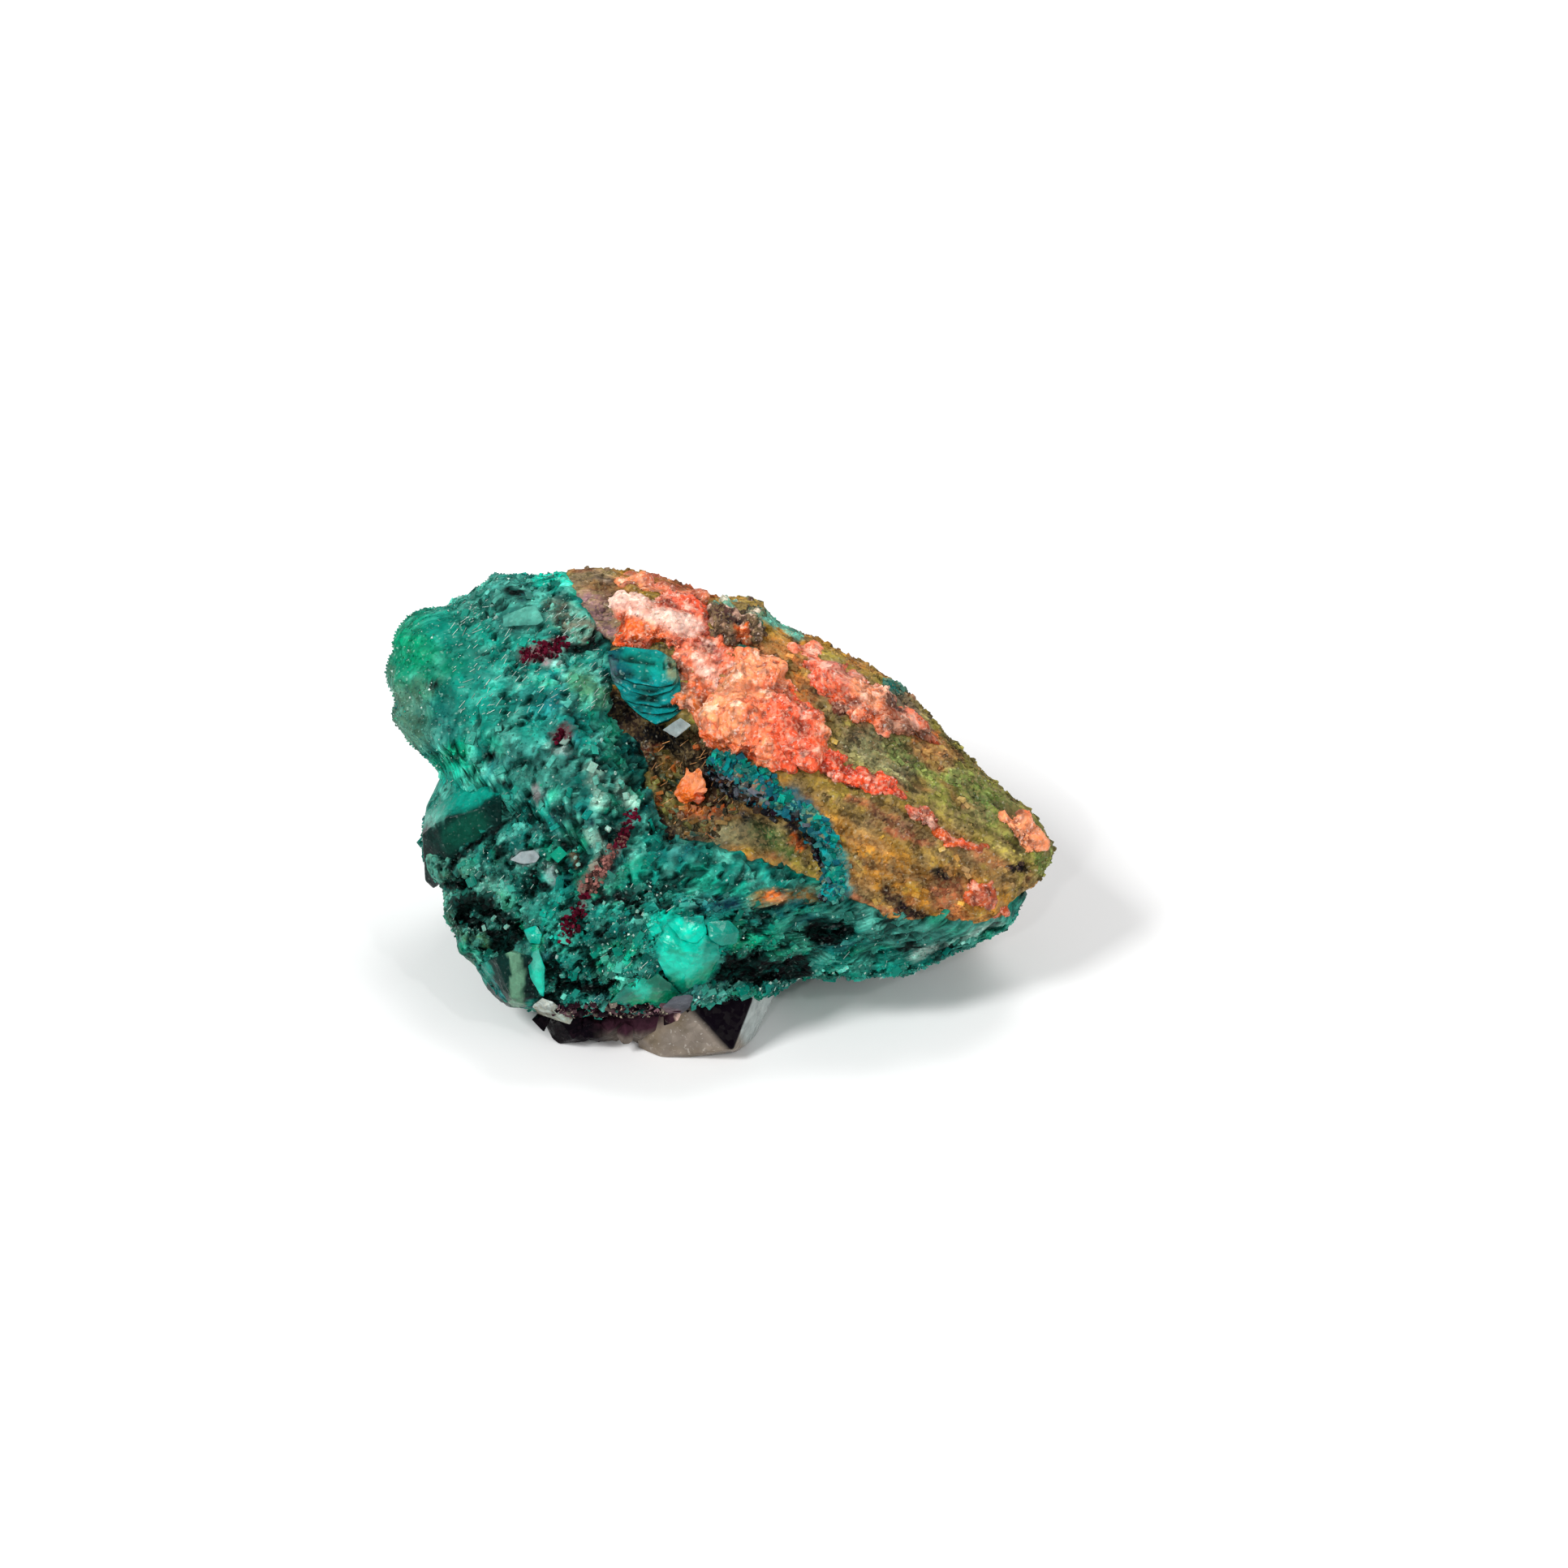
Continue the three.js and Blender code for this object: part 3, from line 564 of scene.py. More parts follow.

# %% [markdown]
# ## One recipe, many minerals
# Every mineral is the painted tone times the shade of a coarse and a fine grain, darkened by painted
# shade in pits and gaps, and flecked white, the flecks partly pale grains and partly painted glints.
# The marks on the mesh say where it is darkened (red: painted shade, and dark tones kept dark),
# smooth (green) and white-flecked (blue: pale grains and painted glints).

# %% Mineral material
def mineral(name, coarse, fine, contrast, tilt, rough, inner=None, inner_depth=0.001, ior=1.5,
            shine=0.25, dust=(0.06, 0.26, 0.21), dust_share=0.4, white_fleck_and_glint=(0.75, 0.92, 0.86),
            white_fleck_and_glint_share=0.64, clear=0.0, stretch=(1.0, 1.0, 1.0), turn=(0, 0, 0)):
    """Tone x (1 + contrast of grain), some grains dusty; the marks add painted shade and white flecks,
    partly painted glints.
    """
    material = bpy.data.materials.new(name)
    material.use_nodes = True
    tree = material.node_tree
    shader = tree.nodes["Principled BSDF"]
    tone = node(tree, "ShaderNodeAttribute", {"attribute_name": "tint"}).outputs["Color"]
    painted = node(tree, "ShaderNodeAttribute", {"attribute_name": "marks"}).outputs["Color"]
    shade_and_darkening, smooth, white_fleck_and_glint_marks = node(tree, "ShaderNodeSeparateColor", i0=painted).outputs
    place = node(tree, "ShaderNodeMapping", Vector=node(tree, "ShaderNodeTexCoord").outputs["Object"],
                 Rotation=turn, Scale=stretch).outputs[0]
    rugged = ranged(tree, smooth, 0.0, 1.0, tilt, 0.12 * tilt)
    big, small = [node(tree, "ShaderNodeGroup", {"node_tree": GRAIN}, Place=place, Scale=size, Tilt=rugged)
                  for size in (coarse, fine)]
    cloud = node(tree, "ShaderNodeTexNoise", Vector=place, Scale=620.0, Detail=4.0, Roughness=0.65)
    grain = maths(tree, "ADD", big.outputs["Shade"], small.outputs["Shade"])
    grain = maths(tree, "ADD", grain, cloud.outputs["Fac"])
    spread = ranged(tree, smooth, 0.0, 1.0, contrast, 0.25 * contrast)
    lit = scaled(tree, tone, maths(tree, "MULTIPLY_ADD", maths(tree, "SUBTRACT", grain, 1.5), spread, 1.0))
    dusty = ranged(tree, small.outputs["Chip"], 0.5, 0.8, 0.0, dust_share)
    worn = blended(tree, maths(tree, "MULTIPLY", dusty, spread), lit, dust)
    # Painted shade: the red mark darkens the colour towards black in pits and gaps, and keeps dark tones
    # dark.
    deep = scaled(tree, worn, ranged(tree, shade_and_darkening, 0.0, 1.0, 1.0, 0.05))
    # White flecks by the blue mark: pale grains, and painted glints on the crystals.
    specks = node(tree, "ShaderNodeTexNoise", Vector=place, Scale=3600.0, Detail=1.0)
    sugar = ranged(tree, specks.outputs["Fac"], white_fleck_and_glint_share, white_fleck_and_glint_share + 0.1, 0.0, 1.0)
    final = blended(tree, maths(tree, "MULTIPLY", sugar, white_fleck_and_glint_marks), deep, white_fleck_and_glint)
    tree.links.new(final, shader.inputs["Base Color"])
    tree.links.new(ranged(tree, small.outputs["Chip"], 0.0, 1.0, *rough), shader.inputs["Roughness"])
    between = node(tree, "ShaderNodeMix", {"data_type": "VECTOR"}, i0=0.5, i4=big.outputs["Normal"],
                   i5=small.outputs["Normal"])
    bump = node(tree, "ShaderNodeBump", Strength=0.3, Distance=0.0001, Height=grain,
                Normal=between.outputs[1])
    tree.links.new(bump.outputs[0], shader.inputs["Normal"])
    shader.inputs["IOR"].default_value = ior
    shader.inputs["Specular IOR Level"].default_value = shine
    shader.inputs["Transmission Weight"].default_value = clear
    if inner is not None:
        shader.inputs["Subsurface Weight"].default_value = inner[0]
        shader.inputs["Subsurface Radius"].default_value = inner[1:]
        shader.inputs["Subsurface Scale"].default_value = inner_depth
    return material


print(mineral.__doc__)

# %% [markdown]
# ## The minerals of this specimen
# Grain sizes are in cells per metre, so 1300 means grains of about 0.8 mm. Dioptase scatters a
# little light inside, calcite more, and clear crystals let some through.

# %% Finishes
DIOPTASE = mineral("dioptase druse", 1300.0, 4200.0, 0.55, 0.8, (0.25, 0.6), ior=1.6, shine=0.03,
                   dust_share=0.5, dust=(0.02, 0.2, 0.16), white_fleck_and_glint=(0.5, 0.8, 0.7),
                   inner=(0.08, 0.1, 1.0, 0.8), stretch=(0.75, 1.0, 1.0), turn=(0.6, 0.7, 0.0))
CRYSTAL = mineral("dioptase crystals", 1100.0, 4200.0, 0.4, 0.2, (0.12, 0.45), ior=1.6, shine=0.03,
                  dust_share=0.1, inner=(0.1, 0.1, 1.0, 0.8))
GEM = mineral("clear dioptase", 700.0, 2600.0, 0.5, 0.12, (0.05, 0.3), ior=1.6, shine=0.12, dust_share=0.1,
              inner=(0.35, 0.05, 1.0, 0.8), inner_depth=0.0012, clear=0.1)
HOST = mineral("host rock", 2000.0, 5200.0, 0.6, 0.6, (0.5, 0.95), shine=0.1, dust=(0.38, 0.27, 0.12),
               dust_share=0.5, white_fleck_and_glint=(0.8, 0.76, 0.62))
CALCITE = mineral("calcite", 1500.0, 4600.0, 0.35, 0.6, (0.25, 0.7), shine=0.3, dust=(0.85, 0.48, 0.32),
                  dust_share=0.9, white_fleck_and_glint=(0.98, 0.88, 0.8), white_fleck_and_glint_share=0.62, inner=(0.2, 1.0, 0.3, 0.15))
DARK = mineral("dark glassy crystal", 300.0, 2600.0, 0.3, 0.04, (0.1, 0.35), shine=0.04,
               dust=(0.3, 0.28, 0.25), dust_share=0.2, white_fleck_and_glint=(0.7, 0.66, 0.6))
DRUSE_DARK = mineral("dark druse", 1200.0, 3600.0, 0.5, 0.6, (0.12, 0.5), shine=0.02,
                     dust=(0.05, 0.02, 0.03), dust_share=0.3, white_fleck_and_glint=(0.85, 0.74, 0.55))
print("materials:", [m.name for m in bpy.data.materials])

# %% [markdown]
# ## Camera
# The camera stands far back with a long lens, square to the display face, so that the
# outline keeps its proportions.

# %% Camera
IMAGE_WIDTH = 1932
MM_PER_PIXEL = 0.0606
LENS = 135.0
SENSOR = 36.0
AIM = (4.8, 12.9, 8.0)
distance = IMAGE_WIDTH * MM_PER_PIXEL * LENS / SENSOR
camera_data = bpy.data.cameras.new("camera")
camera_data.lens = LENS
camera_data.sensor_width = SENSOR
camera_data.clip_start = 0.01
camera = linked("camera", camera_data)
camera.location = (on_face(*AIM) + ORIGIN_SHIFT + ALONG_N * distance) * MM
camera.rotation_euler = (np.pi / 2 - FACE_RISE, 0, 0)
bpy.context.scene.camera = camera
print("camera stands", round(distance), "mm off")

# %% [markdown]
# ## Two skins that share a rock
# The green mass and the host rock each get a closed skin of the whole rock. Past the contact line
# a skin sinks in, so the two meet in an irregular groove.

# %% Contact line
CONTACT = smooth_loop([
    [-13, 34], [-11.9, 29.6], [-10.6, 26.5], [-8.4, 23.4], [-7.6, 19.9], [-6.6, 16.9], [-5.3, 13.9],
    [-4.5, 10.8], [-2.2, 9], [0.8, 7.8], [4.4, 7.1], [7.5, 5.7], [9.3, 4.2], [12, 3.4], [15.3, 2.7],
    [18.4, 2.4], [21.1, 3.1], [22.7, 4.8], [30, 7.5], [50, 40], [-14, 44],
], 3)[:54]
CORE = on_face(0.0, 11.0, 5.0)


def contact_side(points, u, v, front):
    """Distance on the face to the contact line, positive on the host's side; it wanders on the back."""
    best, side = np.full(u.shape, 99.0), np.zeros(u.shape)
    for (u1, v1), (u2, v2) in zip(CONTACT[:-1], CONTACT[1:]):
        d = stretch_distance(u, v, u1, v1, u2, v2)
        turn = (u2 - u1) * (v - v1) - (v2 - v1) * (u - u1)
        side = np.where(d < best, np.sign(turn), side)
        best = np.minimum(best, d)
    return best * side + (1.0 - front) * 2.2 * fractal(points, 7.0, 31)


print("contact line:", len(CONTACT), "points")


# %% Skin of the whole rock
def relaxed(sheet, rounds=160):
    """Where cells of a grid of points are long, draws each point towards its neighbours' mean."""
    for _ in range(rounds):
        inner = sheet[1:-1, 1:-1]
        around = np.stack([sheet[:-2, 1:-1], sheet[2:, 1:-1], sheet[1:-1, :-2], sheet[1:-1, 2:]])
        longest = np.linalg.norm(around[..., :3] - inner[..., :3], axis=-1).max(axis=0)
        inner += 0.8 * ease(0.4, 1.0, longest)[..., None] * (around.mean(axis=0) - inner)
    return sheet


def rock_skin(centre, count):
    """Front and back of the rock on a cushion grid that is finest round a centre."""
    r, phi = disc_grid(count)
    s = even_spread(r, 0.5)
    reach = radius_about(RIM_POINTS, np.array(centre))(phi)
    u, v = centre[0] + reach * s * np.cos(phi), centre[1] + reach * s * np.sin(phi)
    flat = [u[..., None], v[..., None]]
    near = np.concatenate([standing(on_face(u, v, front_level(u, v)))] + flat, axis=-1)
    far = np.concatenate([standing(broken(on_face(u, v, back_level(u, v))))] + flat, axis=-1)
    for edge in (np.s_[0, :], np.s_[-1, :], np.s_[:, 0], np.s_[:, -1]):
        far[edge] = near[edge]
    both = np.concatenate([relaxed(near).reshape(-1, 5), relaxed(far).reshape(-1, 5)])
    points, faces, side = packed(both, cushion_faces(count), np.repeat([1.0, 0.0], count * count))
    return points[:, :3], faces, points[:, 3], points[:, 4], side


print("skin of 8 x 8 points a side:", len(rock_skin(CORE[:2], 8)[0]), "points")


# %% Moving a skin
def push(points, faces, amount, rim=None):
    """Moves points along their normals; at the rim mostly out of the face, so the outline holds."""
    move = vertex_normals(points, faces) * amount[:, None]
    if rim is not None:
        out = np.multiply.outer(move @ ALONG_N, ALONG_N)
        move = mix(move, out + 0.45 * (move - out), rim[:, None])
    moved = points + move
    moved[:, 2] = np.where(points[:, 2] < 0.02, points[:, 2], np.maximum(moved[:, 2], 0.0))
    return moved


def withdrawn(points, faces, past, rim):
    """Sinks what lies past the contact line by 1.1 mm, at the rim towards the core of the rock."""
    depth = 1.1 * ease(-0.3, 1.2, past)
    sunk = push(points, faces, -depth * (1.0 - rim)) + unit(CORE - points) * (1.6 * depth * rim)[:, None]
    share = 0.34 * ease(1.0, 10.0, past)
    return mix(sunk, CORE, share[:, None])


def crust(p, degrees, longer, sizes, salt):
    """Facets of several sizes, longer along one direction on the face: heights and crystal shades."""
    turn = np.radians(degrees)
    u, v, n = p[:, 0], p @ ALONG_V, p @ ALONG_N
    along, across = u * np.cos(turn) + v * np.sin(turn), v * np.cos(turn) - u * np.sin(turn)
    q = np.stack([along / longer, across, n], axis=-1)
    parts = [facets(q, size, salt + 20 * k) for k, size in enumerate(sizes)]
    return q, [h for h, who in parts], [who for h, who in parts]


print("pushed outwards from the origin:", push(np.eye(3), np.array([[0, 1, 2]]), np.ones(3))[0].round(2))

# %% [markdown]
# ## The green mass
# Dioptase grows as a crust of short crystals. Tilted boxes of three sizes are pushed out of the
# skin. The lobe and the bed of the bright crystals stay smooth, and the lower left is loose and
# full of pits.

# %% Shape of the green mass
SKIN_COUNT = 208
points, faces, u, v, side = rock_skin((-5.0, 6.0), SKIN_COUNT)
rim = 1.0 - ease(0.15, 0.5, crown_at(u, v))
front = side + (1.0 - side) * rim
past = contact_side(points, u, v, front)
lobe = (1.0 - ease(0.75, 1.05, np.hypot((u + 21.6) / 4.4, (v - 20.8) / 5.4))) * side
q, heights, shades = crust(points, 42.0, 1.4, (1.9, 0.9, 0.5), 11)
loose = (1.0 - ease(11.0, 20.0, v)) * (1 - lobe)
pits = ease(0.5 - 0.25 * loose, 0.75 - 0.2 * loose, fractal(q, 0.8, 41, 4, 0.7)) * (1 - lobe)
gem = (1.0 - ease(0.75, 1.15, stretch_distance(u, v, -2.4, 1.7, -2.0, 0.0) / 2.0)) * side
rough = (1.0 - 0.85 * lobe) * (1.0 - 0.8 * gem)
bumps = 0.22 * heights[0] + 0.3 * heights[1] + 0.4 * heights[2]
amount = rough * (bumps - 0.2 - 0.45 * pits + (0.2 + 0.2 * loose) * fractal(points, 3.0, 51, 2))
amount = amount + 0.05 * fractal(points, 0.5, 61, 3)
amount = amount + lobe * (0.2 * fractal(points, 1.6, 65, 3) + 0.3 * heights[0] + 0.2 * heights[1] - 0.1)
print("crust from", amount.min().round(2), "to", amount.max().round(2), "mm")

# %% [markdown]
# ## Tones of the green mass
# A row is a stretch u1, v1, u2, v2 on the face, its radius, a tone, how strongly it covers what
# lies below it, and how soft its edge is where that is not 0.5.

# %% Patches of the green mass
MASS_PATCHES = [
    [-23, 23, -20.7, 23.6, 3.51, "emerald", 1, 0.35], [-19.8, 24.8, -17.4, 23, 2.12, "sea", 0.8],
    [-23.5, 23.3, -22.4, 22.7, 1.21, "jade", 0.8, 0.7],
    [-23.6, 18.7, -23.1, 16.6, 1.64, "lichen", 0.9, 0.4],
    [-24.7, 21.1, -24.3, 19.9, 0.61, "lichen", 0.6], [-21.9, 17.8, -20.7, 15.7, 0.91, "deep", 0.5],
    [-18.4, 19.9, -18, 15.4, 1.09, "turquoise", 0.6, 0.4], [-19.2, 15.1, -20.7, 14.2, 0.85, "jade", 0.7],
    [-21.4, 20.2, -21.3, 20.1, 0.42, "pitch", 1, 0.3], [-18.4, 27.7, -14.1, 25.4, 2.18, "sage", 0.6],
    [-15.7, 27.3, -15, 27, 0.42, "pitch", 0.95, 0.3], [-14.5, 26.8, -13.6, 27.3, 0.36, "navy", 0.8, 0.3],
    [-13.3, 28.3, -11, 28.6, 0.79, "bright", 1, 0.35], [-15, 23.6, -11.9, 23.4, 0.55, "turquoise", 0.6],
    [-14.2, 22.5, -13, 23, 0.62, "maroon", 1, 0.4], [-13, 22.7, -11.5, 23.3, 0.7, "maroon", 1, 0.4],
    [-12.8, 22.2, -11.9, 22.1, 0.36, "mauve", 0.8], [-11.7, 16.4, -11.5, 16.5, 0.66, "maroon", 1, 0.3],
    [-12.1, 15.6, -11.2, 15.6, 0.48, "frosty", 0.7, 0.4], [-14.4, 19, -12.4, 18.4, 0.85, "petrol", 0.5],
    [-12, 26, -9.6, 24, 0.8, "drab", 0.85], [-11, 22.9, -8.2, 23.7, 0.48, "pitch", 0.95, 0.4],
    [-10.4, 20.7, -8.4, 19.6, 0.97, "fern", 0.7], [-17.4, 18.7, -14.4, 16.9, 2.18, "sea", 0.6, 0.6],
    [-19.8, 13, -17.4, 11.4, 1.58, "sea", 0.6], [-21.6, 11.4, -19.2, 10.8, 1.21, "sage", 0.8, 0.6],
    [-15, 14.8, -11.9, 13.6, 1.45, "sage", 0.6, 0.6], [-16.9, 15.2, -16.8, 15.1, 0.42, "pitch", 1, 0.3],
    [-15.6, 13, -15.5, 12.9, 0.36, "pitch", 1, 0.3], [-13.6, 12.4, -13.3, 11.8, 0.42, "mauve", 0.7],
    [-9.3, 14.1, -8.8, 11.8, 0.55, "mint", 0.9, 0.4], [-7.4, 12.8, -6.4, 11.6, 0.48, "mint", 0.9, 0.4],
    [-9.5, 9.5, -8.6, 8.1, 0.48, "mint", 0.7, 0.4], [-10.5, 7.8, -10.2, 7.1, 0.3, "cream", 0.7, 0.3],
    [-11.8, 10.8, -11.1, 10.4, 0.55, "pitch", 0.9, 0.4], [-10.1, 10.2, -9.2, 9.8, 0.3, "navy", 0.9, 0.4],
    [-6.3, 10.4, -7.1, 9, 0.36, "maroon", 1, 0.4], [-7.1, 9, -8, 7.8, 0.3, "mauve", 0.9, 0.4],
    [-8.3, 7.1, -9.6, 5.4, 0.61, "rose", 1, 0.35], [-9.6, 4.9, -10, 3.7, 0.3, "maroon", 1, 0.35],
    [-10.6, 3.4, -11, 2.8, 0.48, "maroon", 1, 0.35], [-10.7, 2.4, -11.2, 1.4, 0.3, "maroon", 1, 0.35],
    [-20.7, 6.9, -17.4, 4.8, 1.58, "lichen", 0.6], [-14.8, 7.5, -13.8, 7.4, 0.55, "lilac", 0.95, 0.3],
    [-12.5, 7, -12.3, 6, 0.42, "lilac", 0.8, 0.4], [-14.4, 6.4, -13.3, 6.8, 0.3, "pitch", 0.9, 0.4],
    # Painted shadow: the black row below fills the cavity low on the left.
    [-18.4, 3.2, -16.0, 2.1, 1.75, "black", 1, 0.3], [-18.8, 2.2, -16.8, 1.4, 0.22, "sage", 0.8],
    [-18.2, 3.0, -16.4, 2.0, 0.16, "seafoam", 0.7], [-19.6, 6.2, -18.2, 5.0, 0.5, "pitch", 0.8],
    [-18.9, 1.6, -17.1, 1.3, 0.36, "fern", 0.6, 0.4], [-20.3, 4.1, -19.8, 1.8, 0.67, "lichen", 0.7],
    [-13.8, 5.4, -11, 3, 1.45, "sea", 0.5], [-14.1, 2.2, -13.2, 1.3, 0.55, "jade", 0.9, 0.4],
    [-8.9, 4.1, -7.2, 4.7, 0.42, "black", 0.97, 0.4], [-20.8, 5.1, -17.4, 6.0, 0.35, "black", 0.9, 0.4],
    [-7.1, 4.7, -5.7, 4.3, 0.48, "black", 0.97, 0.4], [15, 1.5, 21, 3.2, 0.9, "sage", 0.5],
    [-10.1, -0.1, -5.3, 0.7, 1.58, "sea", 0.4], [-11.3, -2, -7.7, -2.2, 0.61, "pitch", 0.9, 0.4],
    [-5.3, 6.1, 6.2, 6.3, 1.45, "turquoise", 0.5], [-0.1, 4.2, 1.1, 4.1, 0.48, "navy", 0.9, 0.4],
    [-1, 2.2, 1.1, 2.6, 0.97, "sea", 0.9, 0.4], [1.7, 3.4, 1.9, 2.2, 0.36, "pitch", 0.95, 0.4],
    [1.1, 1.8, 5.9, 1.1, 0.97, "jade", 0.5], [7.4, 2.6, 13, 2.2, 0.9, "pitch", 0.45, 0.6],
    [2.7, 4.6, 7.2, 4.8, 0.5, "ochre", 0.8], [3.4, 4.8, 4.6, 4.7, 0.3, "rust", 0.7],
    # Painted shadow: the black rows below lie in the cavity and the undercut under the slab.
    [7, 2.2, 8.5, 1.9, 0.97, "black", 1, 0.35], [13.4, 0.9, 14.4, 1, 0.48, "black", 1, 0.35],
    # Painted shadow: the black row below lies in the hollow beside the bright crystals.
    [-0.1, -0.7, 5.9, -0.9, 1.03, "black", 1, 0.35], [1.1, -2.1, 5.9, -2.1, 0.42, "deep", 0.9],
    [12.2, 2.2, 14, 2.6, 1.33, "sage", 0.7, 0.4], [7.2, -0.2, 13.5, -0.8, 0.91, "sea", 0.8],
    [14.6, 0.2, 21.1, 2.7, 0.36, "frosty", 0.75], [15.9, -0.6, 20.9, 1.6, 0.3, "deep", 0.7],
    [21.4, 3, 22.5, 4.1, 0.61, "turquoise", 0.6], [7.5, 4.5, 11.4, 3.8, 0.67, "deep", 0.6],
    # Painted shade: the black row below lies in that hollow; the pitch rows below and on the next line lie
    # in the crevices by the edge crystal.
    [-0.1, -0.4, 5.9, -0.7, 1.0, "black", 1, 0.3], [-19.9, 7.0, -17.5, 8.6, 0.3, "pitch", 0.95, 0.4],
    [-17.5, 8.6, -15.8, 10.1, 0.35, "pitch", 0.95, 0.4], [-17.2, 7.4, -16.6, 5.6, 0.35, "pitch", 0.8],
    [-16, 7.8, -15.4, 6.6, 0.5, "deep", 0.8], [-13.9, 7.9, -13.4, 8.0, 0.2, "pitch", 0.9],
    [-13.2, 5.2, -12.4, 5.4, 0.3, "pitch", 0.9], [-9.2, 5.6, -8.4, 5.0, 0.35, "black", 0.9, 0.4],
    [-7.9, 6.6, -7.4, 7.2, 0.35, "navy", 0.8, 0.4], [-9, 1.8, -7.4, 1.2, 0.4, "pitch", 0.8],
    [-9.8, 0.2, -9, -0.6, 0.35, "pitch", 0.8], [-12.3, -0.6, -11.6, -2.4, 0.5, "pitch", 0.8],
    [-10.4, -1.9, -9.4, -2.2, 0.45, "black", 0.8], [-12.8, 3.6, -11.4, 1.6, 0.7, "turquoise", 0.7],
    [-8.6, -0.2, -6.4, 0.8, 0.8, "jade", 0.5], [-11.9, 8.9, -10.9, 8.4, 0.5, "pitch", 0.8],
    [-13.2, 9.8, -12, 9.6, 0.4, "navy", 0.7], [-11.2, 12.6, -10.6, 12.2, 0.4, "deep", 0.8],
    [-15.2, 11.6, -14.4, 11.2, 0.4, "pitch", 0.7], [-3.2, 2.2, -1.6, 0.2, 1.7, "bright", 1, 0.25],
    [-7.2, -2.6, -3.4, -2.4, 0.8, "emerald", 1, 0.3], [-19.4, 3.8, -17.2, 4.2, 0.8, "bottle", 0.8],
    [-16.2, 1.2, -14.6, 1.8, 0.7, "bottle", 0.8], [-12.6, -2.8, -11.4, -3.6, 0.7, "black", 0.9],
    [-15.2, 6.2, -14.2, 4.6, 0.6, "bottle", 0.7], [-20.4, 18.4, -19.6, 16.4, 0.6, "teal", 0.7],
    [-22.4, 20.6, -21.6, 19.6, 0.5, "lichen", 0.5],
]
print(len(MASS_PATCHES), "patches")

# %% [markdown]
# ## Painting it
# Clouds of five greens lie under the patches. Single crystals are made paler or deeper by the
# number of their box. Pits, gaps between crystals, the contact groove and the lower part get painted shade.

# %% Painted skin of the green mass
cloudy = fractal(points, 2.6, 91)
# Painted shade: the lower, loose part leans to the darker teal and deep greens.
base = mix(TONE["teal"], TONE["sea"], ease(-0.5, 0.6, cloudy - 0.35 * loose)[:, None])
base = toward(base, "deep", (0.5 + 0.3 * loose) * ease(0.1 - 0.3 * loose, 0.8, fractal(q, 0.9, 95)))
base = toward(base, "sage", 0.45 * ease(0.15, 0.6, fractal(points, 1.8, 92, 3)))
base = toward(base, "petrol", 0.5 * ease(0.15, 0.6, fractal(points, 2.2, 93, 3)))
base = toward(base, "jade", 0.5 * ease(0.15, 0.6, fractal(points, 2.0, 94, 3)))
over = side + (1.0 - side) * (1.0 - ease(0.0, 0.06, crown_at(u, v) + 0.05 * fractal(points, 1.2, 99)))
tint = mix(base, paint(points, u, v, base, MASS_PATCHES), over[:, None])
lit = lightness(tint)
fleck = lit * rough * ease(0.8, 0.86, shades[2]) * ease(-0.2, 0.4, noise(points, 2.0, 97))
tint = toward(tint, "seafoam", 0.6 * fleck)
tint = toward(tint, "deep", 0.75 * rough * (1 - ease(0.14, 0.18, shades[2])))
tint = toward(tint, "sage", 0.5 * lit * rough * ease(0.74, 0.8, shades[1]))
mottle = fractal(points, 0.9, 101, 4, 0.7)
tint = toward(tint, "seafoam", 0.3 * lit * ease(0.1, 0.9, mottle))
tint = shaded(tint, (mix(0.5, shades[1], rough), 0.25), (mix(0.5, shades[2], rough), 0.35),
              (shades[0], 0.15))
tint = tint * (1 + 0.3 * mottle + 0.35 * fractal(points, 1.5, 103, 2))[:, None]
# Painted shade: darker towards the bottom, where the face is loose; the lobe is darker in tone.
tint = tint * (1.2 - 0.42 * lobe - 0.3 * loose)[:, None]
# Painted shade in the pits.
tint = toward(tint, "pitch", 0.8 * pits)
low_edge = 1.0 - ease(-4.3, -3.7, v + 0.3 * mottle)
purple = low_edge * ease(-14.0, -13.0, u) * (1 - ease(-4.5, -3.0, u))
tint = mix(tint, TONE["plum"] * 0.6, purple[:, None])
# Painted shade between the crystals; the red mark darkens it further in the shader.
gap_shade = rough * (1.0 - ease(0.02, 0.14, heights[1]))
# Painted shade in the groove along the contact line, beside the recess.
seam = (1.0 - ease(0.2, 0.8, np.abs(past))) * ease(8.0, 10.0, v) * (1.0 - ease(22.0, 24.0, v))
tint = toward(tint, "pitch", 0.85 * seam * ease(-0.4, 0.2, fractal(points, 0.9, 131)))
# Red mark: painted shade in the gaps, and tones painted dark kept dark in the shader.
dark = 1.0 - ease(0.005, 0.035, tint.mean(axis=1))
marks = np.stack([np.maximum(0.85 * dark, 0.5 * gap_shade), np.maximum(0.3 * lobe, 0.7 * gem),
                  0.06 + 0.16 * lobe + 0.1 * cloudy], axis=-1)
amount = amount + 0.05 * rough * noise(points, 0.12, 67)
skin = push(withdrawn(points, faces, past, rim), faces, amount, rim)
polished = rough[faces].mean(axis=1) < 0.5
make_piece("green_mass", ON_MASS, skin, faces, DIOPTASE, tint, marks, smooth=polished)
mass_front = {"at": skin, "normal": vertex_normals(skin, faces), "tint": tint, "u": u, "v": v,
              "past": np.where(side > 0.5, past, 99.0),
              "open": (side > 0.5) & (past < -0.4) & (lightness(tint) > 0.3)}

# %% [markdown]
# ## The host rock
# The olive slab is foliated, so its noise and its boxes are drawn out along one way. In the
# recess it has broken into rubble of larger boxes.

